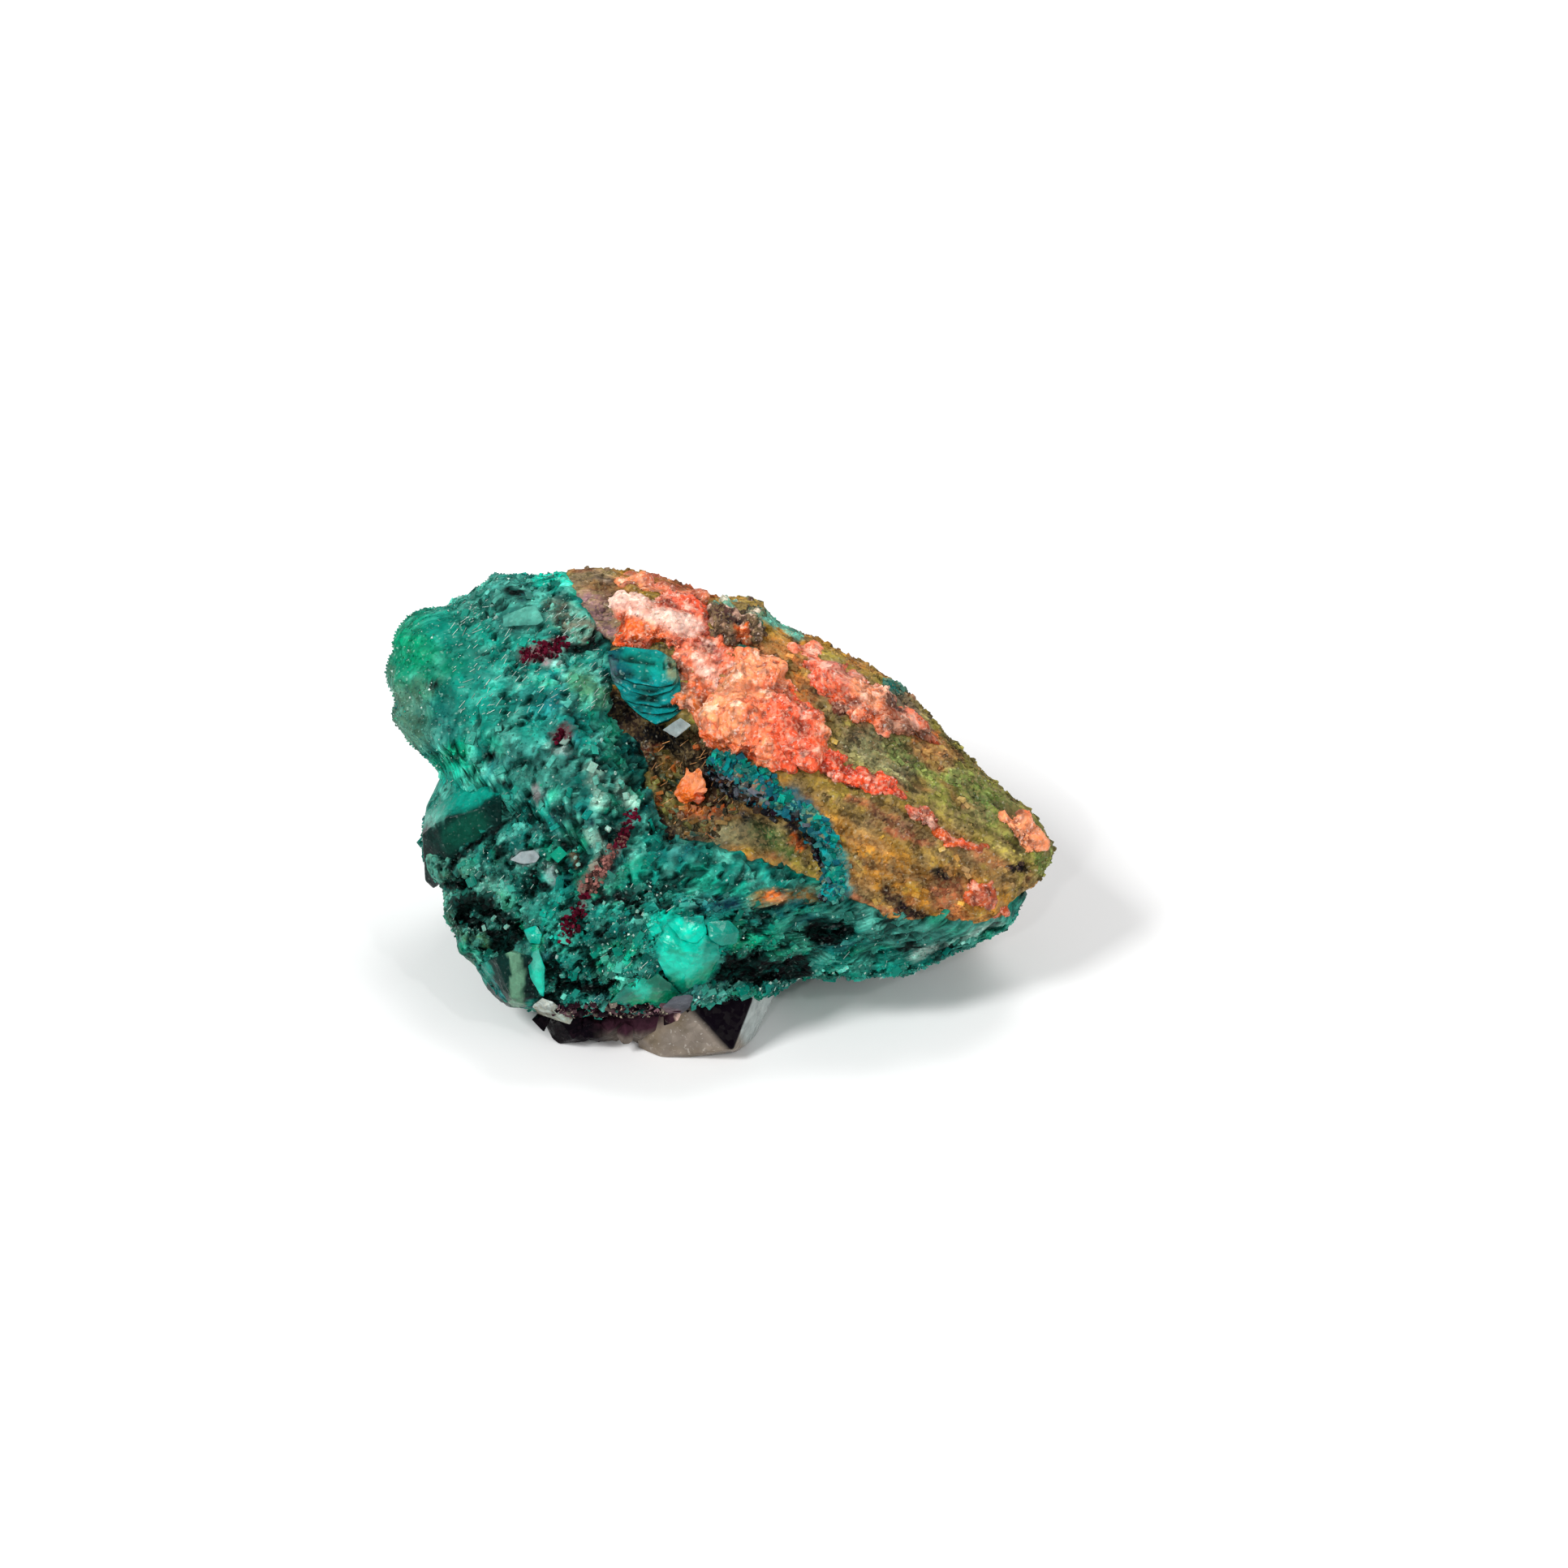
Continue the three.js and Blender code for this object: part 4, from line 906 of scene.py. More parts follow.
# %% Shape of the host rock
points, faces, u, v, side = rock_skin((8.0, 13.0), SKIN_COUNT)
rim = 1.0 - ease(0.15, 0.5, crown_at(u, v))
front = side + (1.0 - side) * rim
past = -contact_side(points, u, v, front)
q, heights, shades = crust(points, -28.0, 2.2, (1.6, 0.7, 0.4), 111)
lines = fractal(q, 0.8, 117, 4, 0.6)
recess = 1.0 - ease(0.6, 1.4, np.hypot((u + 3.0) / 5.0, (v - 12.5) / 5.0))
_, block_heights, block_shades = crust(points, 40.0, 1.3, (1.5, 0.7, 0.4), 121)
pits = ease(0.5, 0.75, fractal(q, 1.2, 141, 2)) * 0.8
grit = fractal(points, 0.5, 137, 2)
slab = 0.22 * lines + 0.35 * heights[1] + 0.5 * heights[2]
slab = slab + 0.25 * fractal(points, 3.2, 131, 2) + 0.1 * grit
slab = slab - 0.22 - 0.5 * pits
rubble = 1.1 * block_heights[0] + 1.0 * block_heights[1] + 0.8 * block_heights[2] - 1.1
print("rubble from", rubble.min().round(2), "to", rubble.max().round(2), "mm")

# %% [markdown]
# ## Tones of the slab
# Moss and leaf green at the top, ochre and brown below, rust in the recess, and black there as painted
# shade.

# %% Patches of the host rock
HOST_PATCHES = [
    [12.9, 16.6, 23.2, 10.2, 4.12, "moss", 0.85], [10.6, 15.7, 13.6, 14.8, 1.45, "khaki", 0.85],
    [16.5, 13.1, 21.1, 10.7, 1.21, "leaf", 0.6, 0.6], [9.6, 8.4, 18.4, 4.3, 2.67, "ochre", 0.9],
    [7.5, 10.2, 9.3, 5.7, 0.79, "ochre", 0.85], [6.8, 13.3, 15.9, 8.1, 1.33, "olive", 0.6, 0.6],
    [18.7, 7.1, 22.7, 5.5, 1.09, "dun", 0.6], [23.8, 8.1, 24.3, 7.1, 0.85, "leaf", 0.9, 0.4],
    [-0.3, 14.2, 2.6, 12.5, 0.85, "teal", 1, 0.3], [-1.5, 14.8, -0.3, 13.6, 0.55, "grape", 1, 0.35],
    [1.1, 13.1, 3.5, 11.7, 0.55, "slate", 0.8, 0.4], [2.6, 13, 4.7, 11.4, 0.75, "sea", 1, 0.3],
    [1.7, 10.8, 2.4, 10.2, 0.3, "navy", 0.95, 0.4], [5.6, 11.8, 7.5, 9.6, 0.8, "petrol", 1, 0.3],
    [7.6, 9.1, 8.7, 7.1, 1.0, "aqua", 1, 0.3], [8.7, 6.3, 9, 5, 0.85, "aqua", 1, 0.3],
    [-7.7, 19, -6.5, 17.8, 0.67, "umber", 0.95, 0.4], [-6.8, 17.8, -5.3, 16, 0.79, "umber", 0.95, 0.4],
    [-5.3, 16.5, -3.9, 15.8, 0.73, "grape", 1, 0.35], [-7.2, 16, -6.7, 14.2, 0.48, "grape", 1, 0.35],
    [-6.2, 14, -5.6, 13.3, 0.55, "navy", 0.9, 0.4], [-5.9, 15.1, -5.2, 14.0, 0.42, "orange", 1, 0.3],
    [-5.0, 15.0, -4.2, 14.0, 0.5, "rust", 0.7], [-3.2, 11.6, -1.0, 10.8, 0.6, "amber", 0.6, 0.6],
    [-4.8, 13.9, -2.8, 10.8, 1.03, "moss", 0.9], [-2.2, 10.7, -0.4, 9, 0.85, "khaki", 0.9],
    [-2.2, 11, 0.2, 10.5, 0.48, "rust", 0.95, 0.4], [-0.9, 11.4, 0.7, 10.8, 0.42, "grape", 0.8, 0.4],
    [-3, 19.9, -2.2, 18.1, 0.55, "chartreuse", 0.9, 0.4],
    [-5.2, 8.2, -1.3, 8.4, 0.36, "grape", 0.95, 0.4], [-0.4, 9.6, 4.3, 9.1, 0.91, "khaki", 0.8],
    [3.2, 9.5, 4.9, 7.8, 0.85, "forest", 0.9, 0.4], [4.1, 10.8, 5.5, 10.5, 0.36, "grape", 1, 0.4],
    [5.4, 10.2, 6, 8.3, 0.42, "grape", 1, 0.4], [5.4, 9, 5.9, 8.1, 0.24, "rust", 0.95, 0.3],
    [-11.3, 26.5, -8.6, 25.4, 1.45, "brown", 0.75], [-8.6, 27.7, -7.6, 26.3, 0.91, "brown", 0.8],
    [-11.3, 28.3, -8.3, 28.7, 0.55, "taupe", 0.6], [-10.6, 26.4, -8.6, 24.8, 1.3, "mauve", 0.8, 0.6],
    [-10.4, 24, -8.5, 23.4, 0.55, "grape", 0.95, 0.4], [-4.5, 28.3, -0.9, 27.2, 0.55, "brick", 0.9, 0.4],
    [2.9, 23.6, 5.3, 21.1, 0.79, "forest", 0.6], [1.7, 23.1, 2.7, 22.7, 0.42, "sea", 1, 0.35],
    [3, 25.6, 5.9, 24.3, 0.48, "seafoam", 0.95, 0.4], [5.9, 21.7, 6.8, 19.3, 0.73, "amber", 0.85],
    [7.5, 19.2, 9.9, 16.9, 0.85, "brown", 0.6], [12.9, 19.9, 15.3, 17.5, 0.61, "drab", 0.9, 0.4],
    [12.5, 20.2, 13.5, 19.9, 0.42, "teal", 0.95, 0.4], [12.3, 17.5, 15.9, 16.6, 0.42, "rust", 0.8, 0.4],
    [12.1, 5, 13.5, 4, 0.36, "grape", 0.9, 0.4], [13.5, 3.9, 15.3, 3, 0.42, "grape", 0.95, 0.4],
    [15.9, 6.7, 16.8, 6.2, 0.24, "grape", 1, 0.4], [21.4, 7, 22.4, 6.4, 0.24, "grape", 1, 0.4],
    [14.6, 6.2, 15.6, 5.6, 0.48, "umber", 0.7], [9.5, 12.2, 14, 9.8, 0.35, "brick", 0.7],
    [11.8, 10.6, 18.4, 8, 1.0, "brown", 0.6, 0.6], [12.4, 9.6, 17, 8.2, 0.3, "brick", 0.7, 0.6],
    [16, 8.6, 20, 7, 0.5, "dun", 0.7], [8.8, 4.8, 12, 3.8, 0.5, "umber", 0.5],
    [13, 15.6, 20, 12, 0.8, "leaf", 0.7, 0.6], [17.5, 12.4, 23, 9.8, 0.7, "forest", 0.45],
    [17.6, 5.2, 16.2, 4.6, 0.7, "brown", 0.7], [10, 7.4, 14.6, 5.8, 0.4, "brown", 0.5],
    # Painted shade: the black rows lie in the recess and along the contact with the green mass.
    [-4.6, 14.6, -4.2, 12, 0.3, "black", 0.9], [-2.6, 10.2, -1.6, 9.6, 0.3, "black", 0.8],
    [-5.2, 16.6, -3.6, 15.9, 0.7, "black", 0.95, 0.4], [-7.4, 16.2, -6.4, 14.6, 0.5, "black", 0.95, 0.4],
    [-5.2, 8.2, -2.2, 8.1, 0.4, "black", 0.9, 0.4],
]
print(len(HOST_PATCHES), "patches")

# %% [markdown]
# ## Painting the slab
# Olive runs into ochre under the patches. The recess is painted umber as shade, and almost black,
# painted shadow, where it dives under the green mass.

# %% Painted skin of the host rock
base = mix(TONE["olive"], TONE["ochre"], ease(-0.6, 0.6, fractal(points, 4.0, 151))[:, None])
base = toward(base, "brown", 0.6 * (1 - side))
base = toward(base, "rust", 0.5 * (1 - front) * ease(0.3, 0.7, fractal(q, 2.0, 155)))
# Painted shade: the recess darkened to umber.
base = mix(base, TONE["umber"] * 0.7, (0.95 * recess)[:, None])
over = side + (1.0 - side) * (1.0 - ease(0.0, 0.06, crown_at(u, v) + 0.05 * fractal(points, 1.2, 99)))
tint = mix(base, paint(points, u, v, base, HOST_PATCHES, 161), over[:, None])
teal = ease(0.0, 0.05, tint[:, 2] - tint[:, 0])
amount = mix(slab, rubble, recess) + 0.25 * teal
lit = lightness(tint) * (1 - 0.8 * teal)
tint = toward(tint, "drab", 0.3 * lit * ease(0.0, 0.5, fractal(points, 0.8, 163)))
# Painted shadow: purple-black where the slab dives under the green mass.
near = (1.0 - ease(0.3, 1.0, -past)) * ease(8.0, 10.0, v) * (1 - ease(19.0, 21.0, v))
tint = toward(tint, "grape", 0.9 * near * ease(-0.5, 0.2, fractal(points, 1.2, 165)))
tint = toward(tint, "umber", 0.5 * (1 - recess) * (1 - teal) * ease(0.2, 0.8, -lines))
tint = toward(tint, "chartreuse", 0.3 * lit * (1 - recess) * ease(0.3, 0.9, lines))
tint = toward(tint, "brick", 0.4 * lit * (1 - recess) * ease(0.2, 0.8, fractal(q, 1.6, 167)))
tint = toward(tint, "umber", 0.35 * (1 - ease(0.12, 0.16, shades[2])))
tint = tint * (0.93 + 0.25 * fractal(points, 2.2, 169, 2))[:, None]
tint = shaded(tint, (mix(shades[1], block_shades[1], recess), 0.3),
              (mix(shades[2], block_shades[2], recess), 0.4))
# Painted shade between the rubble blocks of the recess.
gap_shade = recess * (1.0 - ease(0.02, 0.16, block_heights[1]))
dark = 1.0 - ease(0.005, 0.03, tint.mean(axis=1))
# Red mark: painted shade in the pits and between blocks, and dark tones kept dark in the shader.
marks = np.stack([np.maximum.reduce([pits * 0.5, gap_shade, 0.85 * dark]), 0.7 * teal,
                  0.15 + 0.15 * lines], axis=-1)
skin = push(withdrawn(points, faces, past, rim), faces, amount, rim)
make_piece("olive_host", ON_SLAB, skin, faces, HOST, tint, marks)
host_front = {"at": skin, "normal": vertex_normals(skin, faces), "tint": tint, "u": u, "v": v,
              "open": (side > 0.5) & (past < -0.4)}

# %% [markdown]
# ## Calcite bodies
# Calcite fills gaps in rounded, sugary masses. Each one is a cushion that swells out of the rock.
# Round grains of a few sizes need half spheres in place of boxes.

# %% Lumps
def grains(p, size, salt=0):
    """Greatest of (radius of ball i - distance to its centre), and a random number per ball."""
    q = p / size
    base = np.floor(q - 0.5).astype(np.int64)
    best, who = np.full(p.shape[:-1], -9.0), np.zeros(p.shape[:-1])
    for corner in CORNERS:
        cell = base + corner
        centre = cell + 0.5 + 0.32 * random_vector(cell, salt)
        height = 0.45 + 0.35 * random_at(cell, salt + 5) - np.linalg.norm(q - centre, axis=-1)
        who = np.where(height > best, random_at(cell, salt + 6), who)
        best = np.maximum(best, height)
    return best * size, who


print("ball at the origin:", grains(np.zeros((1, 3)), 1.0))

# %% [markdown]
# ## Who stands where
# A map of the face remembers which cells a body has taken, so that no small crystal is sown there
# later.

# %% Claimed cells
CELL = 0.25
MAP_CORNER = (-30, -12)
claimed = np.zeros((240, 200), dtype=bool)


def cell_of(u, v):
    """Row and column of the cell on the face that holds (u, v)."""
    return ((u - MAP_CORNER[0]) / CELL).astype(int), ((v - MAP_CORNER[1]) / CELL).astype(int)


print("the map covers", *(CELL * side for side in claimed.shape), "mm")


# %% Cushions
def lump_skin(outline, count, height, depth, salt, bulge=(2.4, 0.6), grain=(0.8, 0.35),
              crystal=(0.5, 0.55), ragged=0.3):
    """Rock level plus height times dome, minus depth times dome below, then grains and facets."""
    loop = np.array(outline, dtype=float)
    centre = loop.mean(axis=0)
    r, phi = disc_grid(count)
    s = even_spread(r, 0.7)
    reach = radius_about(outline, centre)(phi)
    edge = np.stack([centre[0] + reach * np.cos(phi), centre[1] + reach * np.sin(phi), 0 * phi], axis=-1)
    reach = reach + ragged * (fractal(edge, 1.2, salt + 51) + 0.5 * noise(edge, 0.35, salt + 55))
    u, v = centre[0] + reach * s * np.cos(phi), centre[1] + reach * s * np.sin(phi)
    dome = np.sqrt(np.clip(1 - s * s, 0, 1)) ** 0.7
    ground = front_level(u, v) - 0.5
    near, far = on_face(u, v, ground + height * dome), on_face(u, v, ground - depth * dome)
    points = np.concatenate([near.reshape(-1, 3), far.reshape(-1, 3)])
    points, faces, u, v, dome = packed(points, cushion_faces(count), np.tile(u.ravel(), 2),
                                       np.tile(v.ravel(), 2), np.tile(dome.ravel(), 2))
    balls, _ = grains(points, bulge[0], salt)
    small, who_small = grains(points, grain[0], salt + 11)
    boxes, who_box = facets(points, crystal[0], salt + 31)
    sugar, who_sugar = facets(points, 0.5 * crystal[0], salt + 61)
    amount = bulge[1] * (balls - 0.2 * bulge[0]) + grain[1] * (small - 0.2 * grain[0])
    amount = amount + crystal[1] * (boxes + sugar - 0.15) + 0.25 * fractal(points, 1.6, salt + 71)
    fields = {"balls": balls / bulge[0], "small": small / grain[0], "who_small": who_small,
              "who_box": who_box, "who_sugar": who_sugar}
    claimed[cell_of(u, v)] = True
    return push(points, faces, amount * ease(0.0, 0.3, dome)), faces, u, v, fields


print(lump_skin.__doc__)


# %% Painted calcite
calcite_skins = {}


def calcite(name, node_name, outline, patches, base, crevice="vermilion", count=110,
            material=CALCITE, slot="calcite", **shape):
    """A calcite body painted with its own patches, deeper in colour and given painted shade between its
    grains.
    """
    points, faces, u, v, f = lump_skin(outline, count, **shape)
    tint = paint(points, u, v, TONE[base], patches, 171)
    pale = ease(0.15, 0.3, tint[:, 2])
    seam = np.maximum(1 - ease(-0.1, 0.12, f["small"]), 0.9 * (1 - ease(-0.05, 0.12, f["balls"])))
    stain = ease(0.0, 0.6, fractal(points, 1.4, 173, 4) + 0.3 * seam) * (1 - 0.6 * pale)
    tint = toward(tint, crevice, 0.55 * stain)
    tint = toward(tint, "blush", 0.5 * ease(0.8, 0.86, f["who_box"]) * (1 - stain))
    tint = mix(tint * [1.0, 0.78, 0.66], tint, ease(0.15, 0.4, tint[:, 2:]))
    pit = ease(0.3, 0.6, fractal(points, 0.6, 175, 3))
    tint = toward(tint, "umber", 0.5 * pit * (1 - 0.7 * pale))
    tint = shaded(tint, (f["who_box"], 0.22), (f["who_sugar"], 0.22))
    # Red mark: painted shade between the grains, weaker on pale calcite.
    marks = np.stack([0.5 * ease(0.6, 1.0, seam) * (1 - 0.7 * pale), 0.4 * pale,
                      0.1 + 0.3 * f["who_small"]], axis=-1)
    make_piece(f"{name}_skin", (node_name, slot), points, faces, material, tint, marks)
    calcite_skins.setdefault((node_name, slot), []).append((points, vertex_normals(points, faces), tint))


print(calcite.__doc__)

# %% [markdown]
# ## Outlines of the calcite
# The loops are places on the display face. The cap sits on the crown, and the ridge runs down
# between the green mass and the slab.

# %% Outlines of cap and ridge
CAP = [
    [-7.9, 23.3], [-8.1, 24.8], [-7.9, 26.3], [-7.4, 26.9], [-5.9, 27.3], [-4.4, 27.4], [-2.5, 27.2],
    [-1.3, 26.7], [-0.4, 25.9], [-0.5, 24.5], [-1.3, 23.6], [-2.5, 23], [-4.4, 23.2], [-5.9, 23],
]
CAP_STRIP = [
    [-7.8, 28.1], [-6.8, 28.6], [-5.3, 28.4], [-3.5, 27.8], [-1.8, 27.2], [-1.5, 26.7], [-3.5, 26.8],
    [-5.3, 27.3], [-7.1, 27.5],
]
RIDGE = [
    [-1.5, 16.6], [-1.2, 18.1], [-1, 19.6], [-0.1, 20.8], [0.8, 22.2], [2, 22.8], [3.5, 22.6],
    [4.5, 21.9], [5.3, 20.5], [6.5, 19.3], [7.5, 18.1], [8.1, 16.6], [7.9, 15.1], [7.2, 14.2],
    [5.6, 13.9], [3.8, 14.2], [2, 14.8], [0.8, 14.7], [-0.4, 15.4],
]
MOTTLED = [
    [-3.4, 19.3], [-3.2, 21.1], [-3.6, 23], [-1.7, 23.8], [0, 24.2], [1.3, 23], [1.3, 22.1], [0.6, 20.5],
    [-0.4, 19.3], [-1.2, 17.4], [-2.2, 18.1],
]
print("cap, strip, ridge and mottled part:", *map(len, (CAP, CAP_STRIP, RIDGE, MOTTLED)), "corners")

# %% Outlines of flank, tip and veins
FLANK = [
    [5.3, 23.2], [6.8, 23.4], [8.7, 22.4], [10.5, 21.3], [12.3, 19.9], [14.1, 18.6], [15.7, 17.2],
    [16.4, 16.2], [16.7, 15.6], [15.3, 16.2], [13.5, 16.6], [12, 16.6], [10.5, 17.2], [9.3, 18.1],
    [8.1, 18.9], [6.8, 20.4], [5.9, 21.8],
]
TIP = [
    [20.9, 10.6], [21.6, 10.3], [22.3, 10.7], [23.3, 10.4], [23.9, 9.5], [24.1, 8.4], [23.5, 7.8],
    [22.6, 8.1], [21.9, 8.9], [21.2, 9.9],
]
SPOT = [
    [18.4, 5.4], [19.6, 5.8], [21.1, 5.3], [21.4, 4.2], [20.5, 3.4], [19.3, 3.7], [18.4, 4.5],
]
KNOB = [
    [-0.4, 23.8], [-0.5, 25.4], [-0.3, 26.6], [0.8, 26.8], [2.3, 26.7], [3.1, 26.2], [3.5, 25.1],
    [2.9, 23.9], [1.4, 23.5],
]
VEINS = [
    [[7, 15.6], [8.8, 15.4], [10.4, 14.2], [11, 13], [9.8, 12.8], [8, 13.6], [6.8, 14.4]],
    [[10, 14], [11.8, 13.6], [13.6, 12.6], [14.4, 11.6], [13.2, 11.2], [11.4, 11.8], [10.2, 12.8]],
    [[13.4, 12.1], [14.8, 11.4], [16.2, 10.2], [16.8, 9.2], [15.9, 9.2], [14.8, 10], [13.6, 11]],
    [[15.8, 9.7], [17.2, 9.1], [19, 8.5], [19.8, 8], [18.8, 7.8], [17.2, 8.2], [16, 8.9]],
]
print("flank, tip, spot and knob:", *map(len, (FLANK, TIP, SPOT, KNOB)), "corners;", len(VEINS), "veins")

# %% [markdown]
# ## Cap and ridge
# The cap is white on top and orange below. The ridge is peach with a cream shoulder, and a
# mottled pink body leans against it.

# %% Cap and ridge
calcite("calcite_cap", "calcite_cap", CAP, [
    [-7, 26.2, -5, 26.6, 1.5, "blush", 0.85], [-5.8, 25.8, -3.6, 25.4, 1.0, "taupe", 0.35, 0.6],
    [-7.4, 24.3, -4.6, 23.9, 1.25, "orange", 1, 0.4], [-6.6, 23.6, -5.2, 23.4, 0.6, "rust", 0.8],
    [-4, 25.4, -2.2, 24.6, 1.0, "blush", 0.8], [-4, 26.9, -1.2, 26.3, 0.8, "coral", 0.8],
    [-1.4, 24.2, -0.8, 24.8, 0.5, "mauve", 0.5],
], "pink", count=104, height=1.7, depth=1.5, salt=201, bulge=(2.6, 0.35), grain=(0.8, 0.2))
calcite("calcite_cap_edge", "calcite_cap", CAP_STRIP, [
    [-5, 28.2, -2, 27, 0.6, "brick", 0.8],
], "peach", "brick", count=60, height=0.9, depth=0.8, salt=211)
calcite("calcite_ridge", "calcite_ridge", RIDGE, [
    [0.6, 19.4, 0, 17, 1.9, "cream", 1, 0.4], [2, 22, 3.8, 21.4, 1.5, "peach", 0.95],
    [3.2, 21.4, 1.0, 17.4, 1.6, "peach", 0.9], [1.6, 19, 3, 20.4, 1.1, "peach", 0.8],
    [-1.2, 16, 1.6, 15, 0.8, "orange", 0.95, 0.4], [5.4, 18.4, 5.8, 14.8, 1.9, "coral", 0.9, 0.4],
    [6.4, 17.8, 7.4, 16, 1.1, "vermilion", 0.35],
], "peach", "coral", count=140, height=2.9, depth=2, salt=221, bulge=(3.0, 0.6), grain=(0.9, 0.3))
calcite("calcite_mottled", "calcite_ridge", MOTTLED, [
    [-1.4, 23.4, -0.2, 22.6, 0.6, "mauve", 0.7], [-2.8, 19.6, -1.6, 18.4, 0.7, "amber", 0.9],
    [-3.2, 21.6, -3, 20, 0.5, "drab", 0.7], [-1.4, 21.6, 0.4, 20.6, 0.8, "blush", 0.6, 0.6],
    [-2.6, 21.2, -0.4, 19.6, 0.5, "amber", 0.6, 0.6], [-1.8, 19.6, -0.8, 18.6, 0.4, "brown", 0.8],
], "pink", "rust", 78, height=0.9, depth=1, salt=231, bulge=(1.4, 0.3), grain=(0.6, 0.4))

# %% [markdown]
# ## Smaller calcite
# Four veins darken from coral to rust. The brown knob at the top is built in the same way, of
# host rock with sharper grains.

# %% Veins, flank, tip, spot and knob
VEIN_TONES = ("coral", "coral", "brick", "rust")
for i, (loop, tone) in enumerate(zip(VEINS, VEIN_TONES)):
    calcite(f"calcite_vein_{i + 1}", "calcite_ridge", loop, [], tone, "vermilion", count=60, height=1.0,
            depth=0.9, salt=241 + i, bulge=(1.6, 0.4), grain=(0.7, 0.3), ragged=0.25)
calcite("calcite_flank", "calcite_flank", FLANK, [
    [8.6, 21.8, 11.4, 20, 1, "mauve", 0.6, 0.4], [10.6, 20, 12.4, 18.8, 0.9, "peach", 0.9],
    [6.6, 21.4, 8.4, 19.6, 1, "coral", 0.8], [12.4, 17.6, 15.4, 16.6, 0.8, "drab", 0.8],
    [10.4, 18, 11.6, 17.6, 0.7, "rust", 0.8], [12.6, 19.2, 13.4, 18.4, 0.5, "umber", 0.9, 0.4],
    [8.6, 18.7, 9.2, 18.4, 0.4, "umber", 0.9, 0.4],
], "pink", "rust", count=110, height=1.5, depth=1.2, salt=251, bulge=(1.9, 0.6), grain=(0.8, 0.4))
calcite("calcite_tip", "calcite_tip", TIP, [], "peach", "coral", 60, height=1.4, depth=1, salt=261)
calcite("calcite_spot", "calcite_spot", SPOT, [[18.6, 4.8, 21, 4.6, 0.5, "brown", 0.5, 0.6]],
        "rust", "brick", 50, height=0.7, depth=0.8, salt=271, slot="coral_calcite", ragged=0.5)
calcite("brown_knob", "dark_knob", KNOB, [
    [1.5, 24.4, 2, 24, 0.5, "orange", 0.9, 0.4], [2.6, 25.9, 3, 25.4, 0.5, "sea", 0.8, 0.4],
    [-0.2, 26.4, 1.6, 26.7, 0.4, "seafoam", 0.8, 0.4], [0.4, 25.6, 1.2, 25.2, 0.6, "plum", 0.8],
], "drab", "grape", 80, HOST, "dark_matrix", height=1.6, depth=1.2, salt=281,
        bulge=(1.6, 0.7), grain=(0.8, 0.8), crystal=(0.5, 0.9))

# %% [markdown]
# ## Crystals with flat faces
# A crystal is the smallest closed shape round its corners. Blender wraps them, bevels the edges,
# and cuts the faces finely so that they can carry colour and a little roughness.

# %% Wrapped crystals
def wrapped(corners, bevel=0.05, cuts=3):
    """Closed triangle mesh wrapped round corners in mm, with bevelled edges, as arrays."""
    shape = bmesh.new()
    for corner in corners:
        shape.verts.new(corner)
    bmesh.ops.convex_hull(shape, input=shape.verts)
    bmesh.ops.dissolve_limit(shape, angle_limit=0.03, verts=shape.verts, edges=shape.edges)
    loose = [vert for vert in shape.verts if not vert.link_faces]
    bmesh.ops.delete(shape, geom=loose, context="VERTS")
    bmesh.ops.bevel(shape, geom=list(shape.edges), offset=bevel, segments=1, affect="EDGES")
    bmesh.ops.triangulate(shape, faces=shape.faces)
    for _ in range(cuts):
        bmesh.ops.subdivide_edges(shape, edges=shape.edges, cuts=1, use_grid_fill=True)
        bmesh.ops.triangulate(shape, faces=shape.faces)
    bmesh.ops.recalc_face_normals(shape, faces=shape.faces)
    mesh = bpy.data.meshes.new("wrapped")
    shape.to_mesh(mesh)
    shape.free()
    points = np.empty(3 * len(mesh.vertices), dtype=np.float32)
    faces = np.empty(len(mesh.loops), dtype=np.int32)
    mesh.vertices.foreach_get("co", points)
    mesh.loops.foreach_get("vertex_index", faces)
    bpy.data.meshes.remove(mesh)
    return points.reshape(-1, 3).astype(float), faces.reshape(-1, 3)


print("a wrapped box:", len(wrapped(np.array(list(np.ndindex(2, 2, 2))))[1]), "triangles")

# %% [markdown]
# ## Crystals on the face
# Corners are places on the face and heights over the rock, so a crystal sits right whatever lies
# under it. A few corners inside the rock root it there.

# %% Crystal on the face
def face_crystal(name, place, corners, material, tone, patches=(), smooth=0.6, bevel=0.06, rough=0.03):
    """Crystal whose corners are u, v and a height over the rock; painted like the rock's skin."""
    c = np.array(corners, dtype=float)
    points, faces = wrapped(on_face(c[:, 0], c[:, 1], front_level(c[:, 0], c[:, 1]) + c[:, 2]), bevel)
    u, v = points[:, 0], points @ ALONG_V
    claimed[cell_of(u, v)] = True
    tint = paint(points, u, v, TONE[tone], patches, 311)
    tint = tint * (1 + 0.25 * fractal(points, 0.6, 317, 3))[:, None]
    points = points + rough * np.stack([fractal(points, 0.5, 321 + k, 2) for k in range(3)], -1)
    points[:, 2] = np.maximum(points[:, 2], 0.0)
    make_piece(name, place, points, faces, material, np.clip(tint, 0, 1), (0.0, smooth, 0.06), smooth=False)


print(face_crystal.__doc__)

# %% [markdown]
# ## Large crystals of the green mass
# On the left edge stand three bottle green crystals with pale rims. Two clear lenses show where
# the druse is open.

